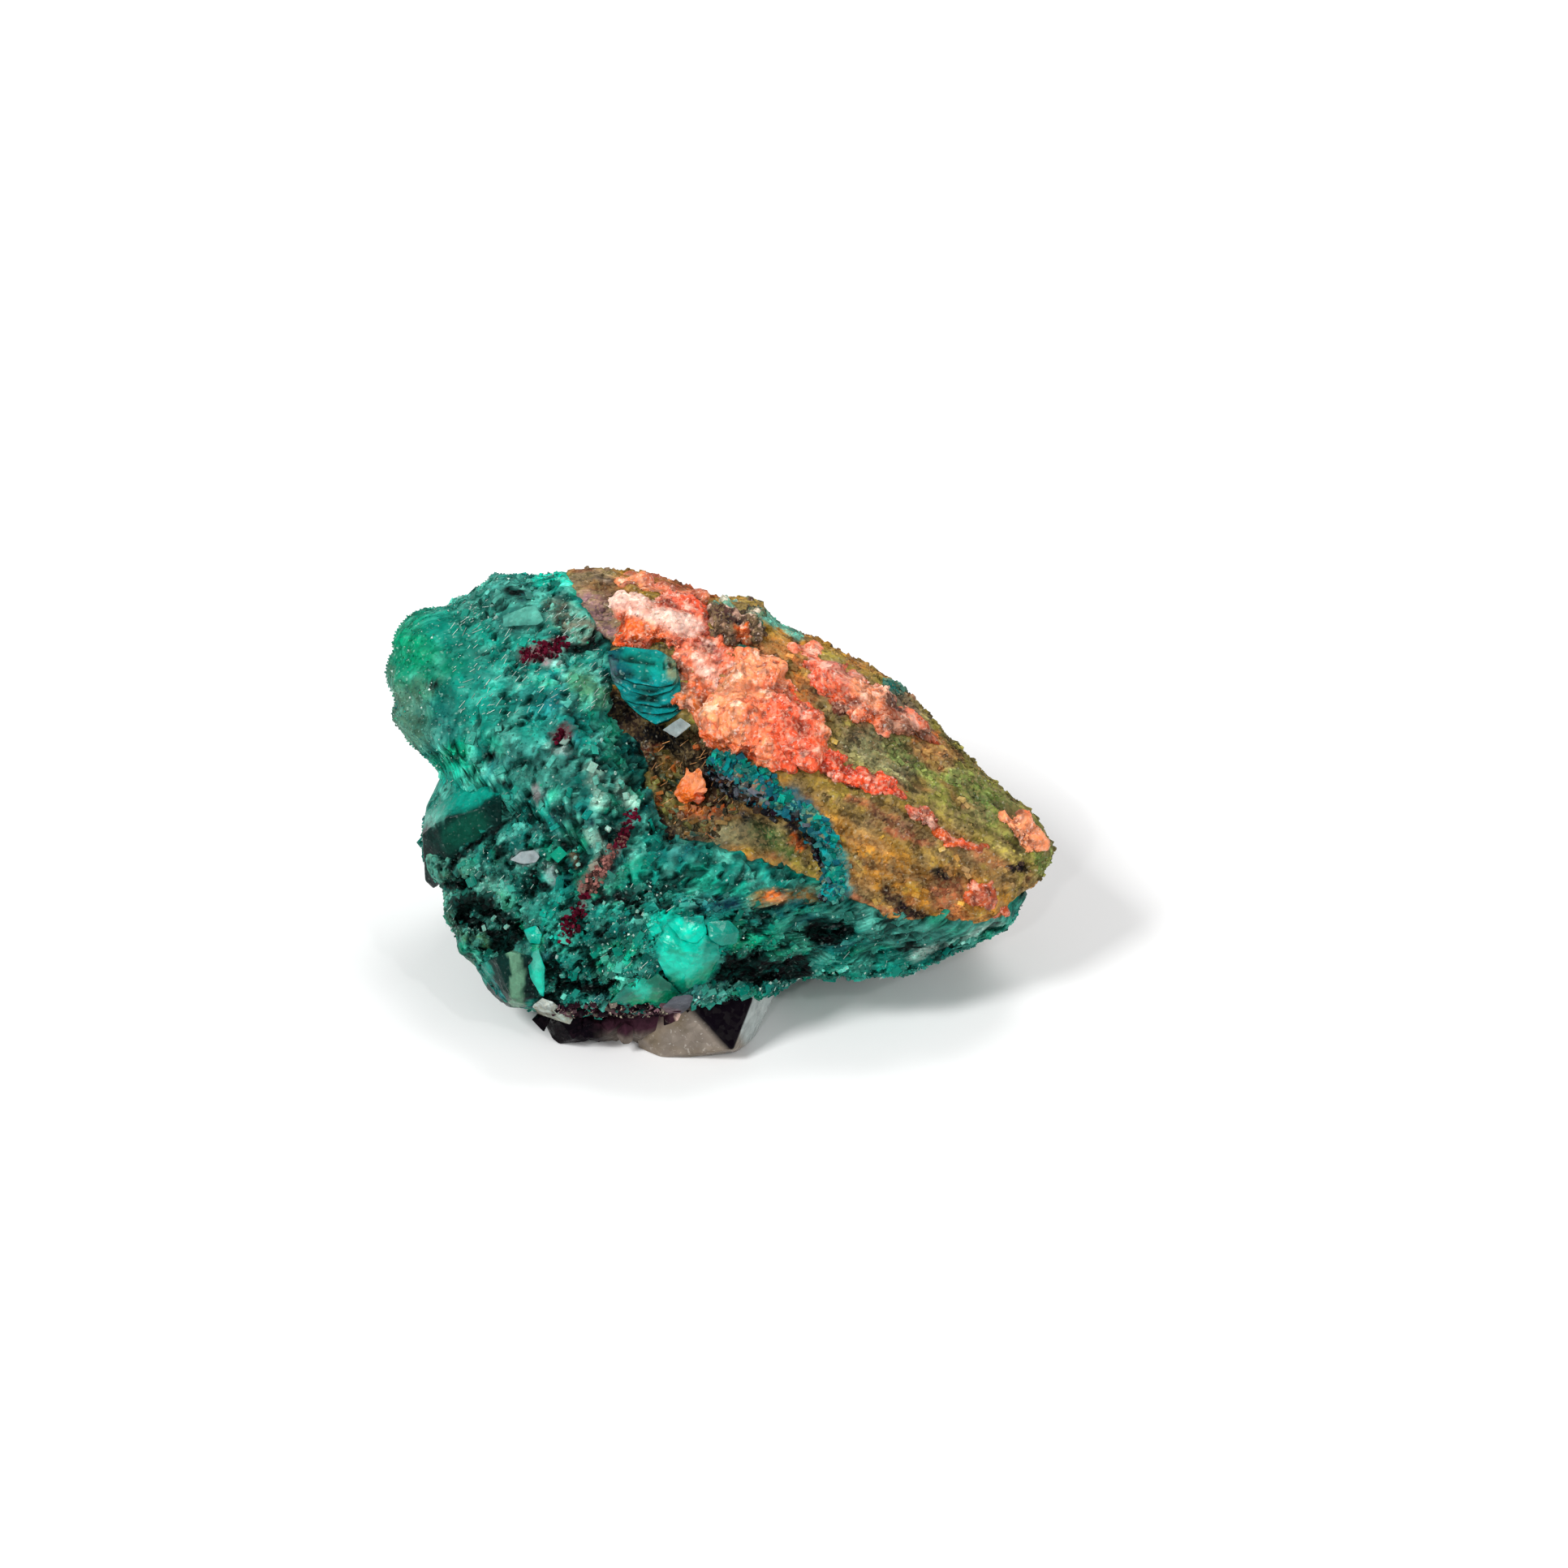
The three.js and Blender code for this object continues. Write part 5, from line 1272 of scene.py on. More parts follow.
# %% Crystals of the left edge
face_crystal("edge_crystal", ON_MASS, [
    [-21.9, 11.2, 1.0], [-22, 9.1, 2.0], [-22, 5.6, -0.6], [-21.4, 5.1, -1.0], [-20.9, 5.4, -0.8],
    [-19.9, 7.0, -0.4], [-18.7, 7.8, -0.4], [-17.5, 8.7, -0.4], [-16, 10, 0.2], [-16, 11.7, 0.9],
    [-17.5, 11.1, 1.7], [-19.9, 10.4, 2.1], [-20.9, 10, 2.1], [-21, 13.4, -0.3], [-18.4, 14.2, -1.2],
    [-16.4, 13.4, -1], [-21.5, 7, -5], [-17, 9, -5], [-21, 12, -4],
], CRYSTAL, "bottle", [
    [-21.6, 11.9, -16.5, 13.6, 1.7, "sea", 0.8, 0.12],
    [-22, 10.1, -20.5, 10.7, 0.4, "seafoam", 0.6, 0.4], [-19.6, 9, -18, 10, 0.9, "emerald", 0.16],
    [-22, 8, -21.6, 5.6, 0.45, "pitch", 0.9, 0.3],
], smooth=0.4)
face_crystal("upright_crystal", ON_MASS, [
    [-17.8, -1.0, -0.4], [-17.6, -1.9, -0.7], [-16.9, -2.8, -0.7], [-16.3, -3.2, -0.4],
    [-15.6, -3.7, 0.2], [-13.7, -3.7, 0.4], [-13.2, -2.6, 0.4], [-13.6, 0.2, 1.0], [-15.2, 0.6, 1.8],
    [-16.4, 0.2, 1.7], [-17.6, -0.4, 0.5], [-15.2, -2.9, 1.6], [-17, -1, -4], [-14, -2, -4],
    [-15, 0.8, -3],
], CRYSTAL, "bottle", [
    [-14.9, 0.6, -14.9, -3.4, 0.5, "lichen", 0.95, 0.2],
    [-13.8, -0.4, -13.9, -3, 0.5, "pitch", 0.95, 0.25], [-17.4, -0.6, -17.2, -1.4, 0.4, "sea", 0.8, 0.4],
    [-13.9, -3.3, -13.6, -3.4, 0.4, "sea", 0.7, 0.4],
], smooth=0.4, rough=0.05)
face_crystal("low_edge_crystal", ON_MASS, [
    [-19.5, 1.5, -0.8], [-19.4, 0.4, -0.8], [-18.9, -0.1, -0.5], [-17.9, -0.9, -0.2], [-17.6, 0.6, 0.3],
    [-18.3, 1.5, 0.3], [-18.6, 1.7, -2], [-17.6, 0, -3],
], CRYSTAL, "lichen", [[-19, 0.8, -18, 0.2, 0.8, "deep", 0.8, 0.4]], rough=0.04)
face_crystal("lens_crystal", ON_MASS, [
    [-13.7, 0.6, 0.5], [-13.2, 0.8, 0.8], [-12.7, -0.5, 1.2], [-13, -1.4, 1.0], [-12.8, -2.8, 0.4],
    [-13.1, -2.7, 0.4], [-13.8, -1.4, 0.7], [-14, -0.5, 0.9], [-13.4, -0.6, 1.5], [-13.4, -0.6, -1],
], GEM, "turquoise", [
    [-13.4, 0.4, -13.2, -0.4, 0.35, "seafoam", 0.6], [-13.2, -1.2, -13, -2.2, 0.4, "bright", 0.7],
], smooth=0.6)
face_crystal("lens_crystal_top", ON_MASS, [
    [-14.4, 2.2, 0.2], [-13.4, 2.6, 0.3], [-12.9, 1.9, 0.5], [-13.1, 1.1, 0.6], [-13.9, 1.2, 0.5],
    [-13.6, 1.8, 0.9], [-13.6, 1.8, -1],
], GEM, "turquoise", smooth=0.6)

# %% [markdown]
# ## The bright blades
# Four clear blades fan out below the middle. They share one list of patches, because the greens
# run on from blade to blade.

# %% Tones of the blades
BLADE_TONES = [
    [-4.4, 2.4, -4.5, 0.4, 0.5, "sea", 0.8], [-0.1, -0.6, -0.3, 1.4, 0.8, "sea", 0.9],
    [-3.4, 0.9, -2.4, 0.5, 0.14, "emerald", 0.6], [-2.5, 3, -2.3, 1.6, 0.12, "seafoam", 0.5],
    [-1.6, -1.6, -0.4, -0.8, 0.7, "emerald", 0.9, 0.6],
    [-3.6, -1.6, -2.4, -2.0, 0.6, "emerald", 0.9, 0.6], [-3.8, 3.1, -1.2, 3.1, 0.3, "teal", 0.8, 0.6],
    [-1.2, 0.9, -0.6, 0.3, 0.4, "turquoise", 0.7, 0.6], [-4.6, -1.6, -3.6, -2.2, 0.7, "deep", 0.6],
    [-7.6, -3, -6.6, -2, 0.5, "teal", 0.7], [-6, -3.2, -3.4, -2.9, 0.5, "jade", 0.8],
    [-5.9, -1.5, -5.6, -2.1, 0.5, "bright", 0.8],
]
print(len(BLADE_TONES), "patches")

# %% Bright blades
BLADES = {
    "main": ("bright", [
        [-4.6, 1.8, 0.2], [-4.6, 0.5, 0.2], [-4.1, -0.7, 0.2], [-3.5, -1.9, 0.15], [-2.7, -2.5, 0.1],
        [-1.1, -1.8, 0.15], [-0.3, -0.9, 0.2], [0.2, 0.4, 0.2], [0, 1.3, 0.2], [-0.9, 1.9, 0.4],
        [-3.8, 2.8, 0.2], [-3, 0.9, 1.0], [-1.6, 0.6, 1.1], [-2.4, -0.9, 0.8], [-2.4, 0.4, -1.5],
    ]),
    "top": ("bright", [
        [-3.9, 3, 0.15], [-2.9, 3.2, 0.3], [-2.2, 3, 0.3], [-1.1, 3.3, 0.15], [-0.8, 2, 0.3],
        [-1.6, 1.3, 0.9], [-2.8, 1.6, 0.95], [-2.4, 1, -1.5],
    ]),
    "low_left": ("emerald", [
        [-8.1, -3.2, 0.3], [-6.9, -1.9, 0.7], [-5.9, -1.2, 1], [-5.2, -1.4, 1.1], [-5.4, -3.4, 0.3],
        [-7.2, -3.5, 0.2], [-5.9, -2.1, 1.5], [-5.4, -2.2, -2],
    ]),
    "low_right": ("emerald", [
        [-5.6, -1.6, 1], [-4.4, -1, 0.9], [-3.5, -1.7, 0.9], [-2.8, -2.5, 0.6], [-4.3, -3.5, 0.2],
        [-5.7, -3.6, 0.2], [-4.3, -2.1, 1.5], [-5.4, -2.2, -2],
    ]),
}
for name, (tone, corners) in BLADES.items():
    low = [[x, y, h if "low" not in name or h < 0 else 0.1 + 0.5 * h] for x, y, h in corners]
    face_crystal(f"bright_blade_{name}", ON_MASS, low, GEM, tone, BLADE_TONES,
                 smooth=0.5, bevel=0.03, rough=0.06)

# %% [markdown]
# ## Plates between the blades
# Dull plates lie beside the blades, and two flat crystals stand higher up.

# %% Plates and blocks
face_crystal("lilac_low_plate", ON_CLUSTER, [
    [-4.2, -3.5, 1.2], [-3.3, -2.7, 1.4], [-2.1, -2.5, 1.5], [-1.8, -2.7, 1.5], [-2.2, -3.7, 1.2],
    [-3.3, -4.5, 0.9], [-4.1, -4.3, 0.9], [-3.3, -3.5, -0.5], [-2, -2.9, 0.4],
], DARK, "slate", [[-4.2, -4, -3.4, -4.4, 0.5, "mauve", 0.6]], smooth=0.5)
face_crystal("purple_low_block", ON_CLUSTER, [
    [-4.7, -4.0, 0.8], [-3.4, -3.8, 1.0], [-2.4, -3.8, 1.1], [-2.2, -4.6, 0.9], [-2.6, -5.5, 0.3],
    [-4.4, -5.5, 0.2], [-3.4, -4.6, 1.1], [-3.4, -4.8, -0.8],
], DRUSE_DARK, "plum", [
    # Painted highlight: the small blush patch is a sparkle on the glossy block.
    [-4.4, -5, -3, -5.2, 0.5, "black", 0.9], [-3, -4.2, -2.6, -4.6, 0.2, "blush", 0.7],
], smooth=0.5)
face_crystal("green_crystal_side", ON_MASS, [
    [-0.9, 2.9, 0.5], [0.8, 3, 0.7], [1.6, 2.2, 0.7], [1.4, 1.2, 0.6], [0.2, 1, 0.8], [-0.7, 1.6, 0.9],
    [0.4, 2, 1.4], [0.4, 2, -1],
], GEM, "sea", smooth=0.8, bevel=0.1)
face_crystal("flat_crystal", ON_MASS, [
    [-16.2, 25.4, 0.6], [-14.5, 26.1, 0.9], [-13.6, 26.2, 1.3], [-13, 25, 1.5], [-13.5, 24.7, 1.4],
    [-16.1, 24.6, 0.7], [-14.8, 25.3, -1], [-13.3, 25, 0.2], [-13.7, 26, 0.2],
], CRYSTAL, "sage", [[-15, 25.6, -13.5, 25.6, 0.6, "seafoam", 0.6]], smooth=0.5)
face_crystal("lilac_plate", ON_MASS, [
    [-15.4, 7.3, 0.5], [-14.6, 7.9, 0.8], [-13.5, 8.1, 0.9], [-13.1, 7.6, 0.9], [-13.4, 7.1, 0.7],
    [-14.4, 7, 0.6], [-14.2, 7.5, -0.6],
], CRYSTAL, "lilac", smooth=0.7)

# %% [markdown]
# ## The dark base crystal
# The specimen rests on one large dark crystal. One of its faces is polished black.

# %% Base crystal
BASE_CORNERS = [
    [-2.1, -12.8, 4.9], [2.5, -12.4, 5.2], [1, -13.9, 1.5], [4.2, -9, 3.2], [1.9, -12.5, 0.8],
    [1.2, -12.3, 0], [2.6, -10.4, 0], [-2.5, -12.9, 0], [-4.4, -12.9, 0], [-6, -11.8, 0],
    [-6.2, -11.8, 2.6], [4, -5, 0], [-6, -4.5, 0], [3.4, -4, 6.5], [-5, -4, 6.5], [4.6, -6, 3],
]
points, faces = wrapped(BASE_CORNERS, 0.08)
a, b, c = np.array(BASE_CORNERS[:3])
black_plane = unit(np.cross(b - a, c - a))
near_black = 1.0 - ease(0.05, 0.12, np.abs((points - a) @ black_plane))
u = points[:, 0]
right = ease(1.2, 1.8, u + 0.25 * (points[:, 2] - 2.5))
tint = mix(TONE["taupe"], TONE["drab"], ease(-0.4, 0.6, fractal(points, 1.6, 401))[:, None])
tint = mix(tint, TONE["grey"] * 0.95, right[:, None])
tint = toward(tint, "plum", 0.8 * ease(0.2, 1.2, -3.4 - u) * ease(2.2, 3.0, points[:, 2]))
tint = toward(tint, "black", near_black)
tint = tint * (1 + 0.22 * fractal(points, 0.5, 407, 3))[:, None]
marks = np.stack([0 * u, 0.4 + 0.6 * near_black, 0.25 * (1 - near_black)], axis=-1)
points[:, 2] = np.maximum(points[:, 2] + 0.03 * fractal(points, 0.6, 411), 0.0)
make_piece("base_crystal_skin", ("base_crystal", "dark_crystal"), points, faces, DARK,
           np.clip(tint, 0, 1), marks, smooth=False)

# %% [markdown]
# ## The dark cluster
# Left of it the rock rests on blackish lumps, wrapped round points scattered on an ellipsoid.
# Small blocks fill the gap above them.

# %% Dark cluster
# Middle and half width of each lump, in mm.
CLUSTER = [
    [-11.0, -9.3, 2.1, 2.4, 3, 2.8], [-8.2, -9.2, 1.9, 2.6, 3.2, 2.7], [-5.4, -10, 2.4, 3.2, 2.6, 2.6],
]
# Place on the face and half width of each small block.
LOW_BLOCKS = [
    [-12.9, -5.3, 0.9], [-11.9, -4.9, 0.8], [-11, -5.4, 0.9], [-10.2, -4.6, 0.6], [-9.6, -5.2, 0.9],
    [-8.6, -4.6, 0.6], [-8.2, -5.5, 0.9], [-7.2, -4.9, 0.7], [-6.4, -5.5, 0.9], [-5.6, -4.8, 0.6],
    [-5, -5.5, 0.8], [-4.2, -4.9, 0.7], [-3.4, -4.4, 0.6], [-2.8, -4.9, 0.6], [-9.4, -6.1, 0.9],
    [-6.9, -6.2, 0.9],
]
rng = np.random.default_rng(20)


def joined(parts):
    """One points array and one faces array from a list of (points, faces)."""
    starts = np.cumsum([0] + [len(points) for points, faces in parts[:-1]])
    return (np.concatenate([points for points, faces in parts]),
            np.concatenate([faces + start for (points, faces), start in zip(parts, starts)]))


blocks = []
for x, y, z, rx, ry, rz in CLUSTER:
    directions = 1.06 * unit(rng.normal(size=(26, 3)))
    blocks.append(wrapped(np.array([x, y, z]) + directions * np.array([rx, ry, rz]), 0.06, 2))
for u0, v0, size in LOW_BLOCKS:
    middle = on_face(u0, v0 + 0.7, front_level(np.array(u0), np.array(v0 + 0.7)) + 0.3)
    directions = unit(rng.normal(size=(12, 3)))
    blocks.append(wrapped(middle + directions * size * rng.uniform(0.6, 1.3, 3), 0.05, 1))
points, faces = joined(blocks)
points[:, 2] = np.maximum(points[:, 2] + 0.06 * fractal(points, 0.7, 421), 0.0)
u = points[:, 0]
purple = ease(-0.1, 0.6, fractal(points, 1.2, 425) + 0.5 * (u + 8.6))
tint = mix(TONE["black"], TONE["plum"], purple[:, None])
dull = 0.9 * ease(-9.2, -7.6, u) * (1 - ease(1.6, 2.4, points[:, 2]))
tint = mix(tint, TONE["taupe"] * 0.7, dull[:, None])
marks = np.stack([0.5 * ease(-10.5, -12.5, u), np.full(len(u), 0.4), np.zeros(len(u))], axis=-1)
make_piece("dark_cluster_skin", ON_CLUSTER, points, faces, DRUSE_DARK, tint, marks, smooth=False)

# %% [markdown]
# ## Three odd crystals
# A pale splinter on the cluster, a grey rhomb beside the ridge whose grey is a painted glint, and an
# orange chip of calcite in the recess.

# %% Splinter, rhomb and chip
face_crystal("pale_splinter_skin", ("pale_splinter", "splinter"), [
    [-13.8, -3.5, 0.9], [-13.0, -2.8, 1.0], [-12.1, -3.1, 1.2], [-10.8, -4.3, 1.4], [-11, -4.9, 1.3],
    [-13.4, -4.1, 1.0], [-12.6, -3.5, 1.5], [-12.9, -3.2, -0.8], [-11, -4.6, -0.5],
], HOST, "taupe", [
    [-13.6, -3.2, -11.2, -4.2, 0.9, "frosty", 0.5, 0.6],
    [-13.4, -3.2, -12.4, -3.4, 0.4, "grey", 0.6, 0.4], [-12.4, -3.9, -11.2, -4.5, 0.16, "frosty", 0.6],
    [-12.8, -3.9, -11.8, -4.2, 0.12, "umber", 0.8], [-13.6, -3.8, -13.3, -4.1, 0.3, "umber", 0.7, 0.4],
], smooth=0.3, bevel=0.05, rough=0.05)
# Painted glint: the rhomb's pale grey stands for light caught by its flat face.
face_crystal("grey_rhomb_skin", ("grey_rhomb", "grey_crystal"), [
    [-4.2, 16.9, 1.5], [-2.85, 17.8, 1.6], [-2, 17.2, 1.5], [-3.2, 16.3, 1.4], [-4.1, 16.9, 1.0],
    [-2.85, 17.7, 1.0], [-2.1, 17.2, 1.0], [-3.2, 16.4, 0.9], [-3.1, 17, -0.4],
], CRYSTAL, "grey", [[-3.6, 16.9, -3, 17.3, 0.4, "lilac", 0.6, 0.6]], smooth=0.8, bevel=0.05)
face_crystal("orange_chip", ("calcite_chip", "orange_calcite"), [
    [-2.4, 13.9, 0.8], [-1.5, 14.0, 0.9], [-1.1, 13.3, 1.0], [-1.0, 12.3, 1.3], [-1.2, 11.6, 0.9],
    [-2.3, 11.4, 0.7], [-3.4, 12.1, 0.7], [-2.5, 12.9, 1.3], [-1.6, 12.3, 2.0], [-2, 12.6, -0.6],
], CALCITE, "orange", [
    [-2.2, 13.4, -1.6, 12.8, 0.6, "peach", 0.5, 0.6], [-2, 11.6, -1.4, 11.9, 0.3, "vermilion", 0.8],
], smooth=0.0, bevel=0.04, rough=0.25)

# %% [markdown]
# ## The cleaved block
# Dioptase splits along flat planes. The block is a stack of thin sheets, each reaching further
# down the face than the one on it.

# %% Sheets of the cleaved block
SHEETS = [
    (1.5, [
        [-8.2, 22.7], [-7, 23], [-4.6, 22.8], [-3.2, 22], [-3.1, 20.7], [-3.4, 20.3], [-4.5, 20],
        [-6.2, 20.3], [-7.6, 20.9], [-7.9, 21.4],
    ]),
    (1.3, [
        [-8.2, 22.4], [-3.1, 21.8], [-3, 20.4], [-3.6, 19.7], [-5, 19.4], [-6.6, 19.7], [-7.9, 20.6],
    ]),
    (1.05, [
        [-8, 22], [-3, 21.4], [-2.8, 19.4], [-3.4, 18.7], [-4.7, 18.6], [-6, 18.8], [-6.9, 19.1],
        [-7.8, 20.4],
    ]),
    (0.75, [
        [-7.8, 21.6], [-2.9, 20.8], [-2.7, 18.8], [-3.4, 18.2], [-4.6, 18], [-5.8, 18.2], [-7.2, 19.2],
    ]),
    (0.4, [
        [-7.6, 21], [-2.9, 20], [-2.7, 18.4], [-3.7, 17.6], [-4.7, 17.3], [-5.7, 17.8], [-7, 19],
    ]),
]
sheets = []
for height, loop in SHEETS:
    loop = np.array(loop)
    level = front_level(np.array(-5.6), np.array(20.4)) + height + 0.12 * (loop[:, 1] - 21)
    top, bottom = on_face(*loop.T, level), on_face(*(loop * 0.98 + [-0.1, 0.4]).T, level - 0.5)
    sheets.append(wrapped(np.concatenate([top, bottom]), 0.03))
points, faces = joined(sheets)
u, v, n = points[:, 0], points @ ALONG_V, points @ ALONG_N
claimed[cell_of(u, v)] = True
streak = np.stack([u * 0.22, v + 0.2 * np.sin(u), n * 2.0], axis=-1)
lines = fractal(streak, 0.4, 441, 4)
points = points + on_face(0.0, 0.1, 0.08) * lines[:, None]
tint = mix(TONE["deep"] * 0.7, TONE["aqua"], ease(-0.5, 0.3, lines)[:, None])
tint = paint(points, u, v, tint, [
    [-7.8, 22.2, -6.8, 21.6, 0.8, "navy", 0.7], [-6.2, 22.4, -4.4, 21.4, 0.8, "sea", 0.6, 0.6],
    [-3.4, 22, -3.2, 21, 0.6, "khaki", 0.8], [-7.9, 21.8, -7.5, 20.8, 0.4, "slate", 0.6],
])
tint = toward(tint, "pitch", 0.85 * ease(0.25, 0.5, -lines))
# Painted shade: faces that turn away from the display face, the sheets' edges, go almost black.
facing = np.abs(vertex_normals(points, faces) @ ALONG_N)
tint = mix(TONE["pitch"], tint, ease(0.25, 0.7, facing)[:, None])
make_piece("cleaved_sheets", ("cleaved_block", "cleaved_dioptase"), points, faces, DIOPTASE, tint,
           (0.0, 0.3, 0.25), smooth=False)

# %% [markdown]
# ## Thousands of small crystals
# Small crystals are made all at once, as six-faced blocks or as six-sided prisms with three
# slanting end faces, as dioptase grows.

# %% Blocks and chips
def rhombs(centre, a, b, c):
    """Six-faced blocks with corners centre +- a +- b +- c."""
    c = np.where((np.cross(a, b) * c).sum(1)[:, None] < 0, -c, c)
    signs = np.array([[x, y, z] for x in (-1, 1) for y in (-1, 1) for z in (-1, 1)], dtype=float)
    points = centre[:, None] + signs @ np.stack([a, b, c], axis=1)
    quads = np.array([[0, 1, 3, 2], [4, 6, 7, 5], [0, 4, 5, 1], [2, 3, 7, 6], [0, 2, 6, 4], [1, 5, 7, 3]])
    faces = quads[None] + 8 * np.arange(len(centre))[:, None, None]
    return points.reshape(-1, 3), faces.reshape(-1, 4), 8


def tumbled(centre, size, wide, thick, upright=1.0):
    """Blocks turned at random, with half edges size, wide * size and thick * size."""
    one = unit(rng.normal(size=centre.shape) * [1, 1, upright])
    two = unit(np.cross(one, rng.normal(size=centre.shape)))
    return rhombs(centre, one * size, two * size * wide, np.cross(one, two) * size * thick)


def chips(centre, size):
    """Four-faced chips round their centres, each turned its own way."""
    one = unit(rng.normal(size=centre.shape))
    two = unit(np.cross(one, rng.normal(size=centre.shape)))
    turned = np.stack([one, two, 0.6 * np.cross(one, two)], axis=1)
    corners = np.array([[1, 1, 1], [1, -1, -1], [-1, 1, -1], [-1, -1, 1]]) / 1.7
    points = centre[:, None] + size[:, None] * (corners @ turned)
    sides = np.array([[0, 1, 2], [0, 3, 1], [0, 2, 3], [1, 3, 2]])
    faces = sides[None] + 4 * np.arange(len(centre))[:, None, None]
    return points.reshape(-1, 3), faces.reshape(-1, 3), 4


middle = np.zeros((1, 3))
print("corners of a block:", rhombs(middle, *np.eye(3)[:, None])[2])


# %% Prisms
def prisms(root, axis, side, radius, length, flat=1.0, slope=0.75):
    """Six-sided prisms: ring at the root, zigzag shoulder, and a tip of three slanting faces."""
    turn = np.arange(6) * np.pi / 3
    side = unit(side - axis * (side * axis).sum(1)[:, None])
    other = np.cross(axis, side) * flat
    ring = side[:, None] * np.cos(turn)[:, None] + other[:, None] * np.sin(turn)[:, None]
    ring = radius[:, None, None] * ring
    drop = slope * radius[:, None] * np.array([0.5, 1, 0.5, 1, 0.5, 1])
    foot = root[:, None] + ring
    shoulder = foot + axis[:, None] * (length[:, None] - drop)[..., None]
    tip = root + axis * length[:, None]
    points = np.concatenate([foot, shoulder, tip[:, None]], axis=1)
    k = np.arange(6)
    sides = np.stack([k, (k + 1) % 6, (k + 1) % 6 + 6, k + 6], axis=-1)
    kites = np.array([[12, 6, 7, 8], [12, 8, 9, 10], [12, 10, 11, 6]])
    quads = np.concatenate([[[0, 5, 4, 3], [0, 3, 2, 1]], sides, kites])
    faces = quads[None] + 13 * np.arange(len(root))[:, None, None]
    return points.reshape(-1, 3), faces.reshape(-1, 4), 13


up, east = np.eye(3)[2:], np.eye(3)[:1]
print("corners of a prism:", prisms(middle, up, east, np.ones(1), np.ones(1))[2])

# %% [markdown]
# ## Sowing
# They are sown on random points of the open skin that no larger body has claimed, and take the
# tone of the skin there times a random factor.

# %% Sowing
def between(low, high, rows):
    """Column of random numbers low..high, one for each row."""
    return rng.uniform(low, high, (len(rows), 1))


def random_ways(count, spread, middle):
    """Unit vectors scattered about a middle one."""
    return unit(middle + spread * rng.normal(size=(count, 3)))


def lying(normal, spread, flatten=0.0):
    """Unit vectors scattered about the slant, turned some way into the plane of the skin."""
    ways = random_ways(len(normal), spread, SLANT)
    return unit(ways - flatten * normal * (SLANT @ normal.T)[:, None])


def pick(front, count, region=None):
    """Numbers of random points of a skin's open part, each as likely as its neighbours."""
    allowed = front["open"] & ~claimed[cell_of(front["u"], front["v"])]
    if region is not None:
        allowed = allowed & region
    return rng.choice(np.flatnonzero(allowed), count)


def feet(front, chosen):
    """Places and normals of the chosen points of a skin."""
    return front["at"][chosen], front["normal"][chosen]


def small_crystals(name, place, material, made, tones, white_fleck_and_glint=0.2):
    """One piece from a list of (points, faces, points per crystal), with a tone for each crystal."""
    points, faces = joined([part[:2] for part in made])
    tint = np.concatenate([np.repeat(tone, part[2], axis=0) for part, tone in zip(made, tones)])
    points[:, 2] = np.maximum(points[:, 2], 0.02)
    make_piece(name, place, points, faces, material, np.clip(tint, 0, 1), (0.0, 0.5, white_fleck_and_glint), smooth=False)


def tones_at(front, chosen, low, high, towards=None, share=0.0):
    """Tone of the skin there times a random factor, some way towards another tone."""
    tone = front["tint"][chosen] * between(low, high, chosen)
    return tone if towards is None else mix(tone, TONE[towards], share * between(0, 1, chosen))


def any_of(names, rows):
    """One of the named tones at random for each row."""
    return np.array([TONE[name] for name in names])[rng.integers(0, len(names), len(rows))]


print("open points of the skins:", mass_front["open"].sum(), host_front["open"].sum())

# %% [markdown]
# ## Crystals of the druse
# Most lie along one slant, because they grew on the same old crystal. Blocks come first, then
# prisms that stand up, then larger flat faces.

# %% Druse crystals
SLANT = unit(on_face(np.cos(0.75), np.sin(0.75), 0.0))
u, v = mass_front["u"], mass_front["v"]
off_lobe = np.hypot((u + 21.6) / 4.6, (v - 20.8) / 5.6) > 1.0
made, tones = [], []
chosen = pick(mass_front, 2900, off_lobe)
at, normal = feet(mass_front, chosen)
long_way = lying(normal, 0.3, 0.6)
size = 0.06 + 0.22 * between(0, 1, chosen) ** 3
across = unit(np.cross(normal, long_way))
up = unit(np.cross(long_way, across) + 0.25 * rng.normal(size=(len(chosen), 3)))
made.append(rhombs(at - 0.03 * normal, long_way * size, across * size * between(0.35, 0.8, size),
                   up * size * 0.4))
pale = (between(0, 1, chosen) < 0.1) * between(0.2, 0.8, chosen) * (size < 0.16)
tones.append(mix(tones_at(mass_front, chosen, 0.6, 1.5, "sage", 0.4), TONE["frosty"], pale))
chosen = pick(mass_front, 500, off_lobe)
at, normal = feet(mass_front, chosen)
radius = rng.uniform(0.06, 0.17, len(chosen))
axis = random_ways(len(chosen), 0.55, normal)
made.append(prisms(at - axis * radius[:, None] * 1.4, axis, rng.normal(size=(len(chosen), 3)), radius,
                   radius * rng.uniform(1.8, 3.2, len(chosen))))
tones.append(tones_at(mass_front, chosen, 0.4, 1.4, "sea", 0.3))
small_crystals("druse_crystals", ON_MASS, CRYSTAL, made, tones)

# %% Flat facets
chosen = pick(mass_front, 200, off_lobe)
at, normal = feet(mass_front, chosen)
long_way = lying(normal, 0.5, 0.8)
across, size = unit(np.cross(normal, long_way)), between(0.22, 0.5, chosen)
made = [rhombs(at + 0.02 * normal, long_way * size, across * size * between(0.4, 0.8, size),
               unit(normal + 0.2 * rng.normal(size=normal.shape)) * size * 0.25)]
small_crystals("flat_facets", ON_MASS, CRYSTAL, made,
               [tones_at(mass_front, chosen, 0.35, 1.5, "turquoise", 0.4)], white_fleck_and_glint=0.1)

# %% [markdown]
# ## Speckle and needles
# Thousands of tiny chips break up the colour of the druse; a few white ones are painted glints.
# Hair-thin white needles lie on it as painted glints, most of them near the top.

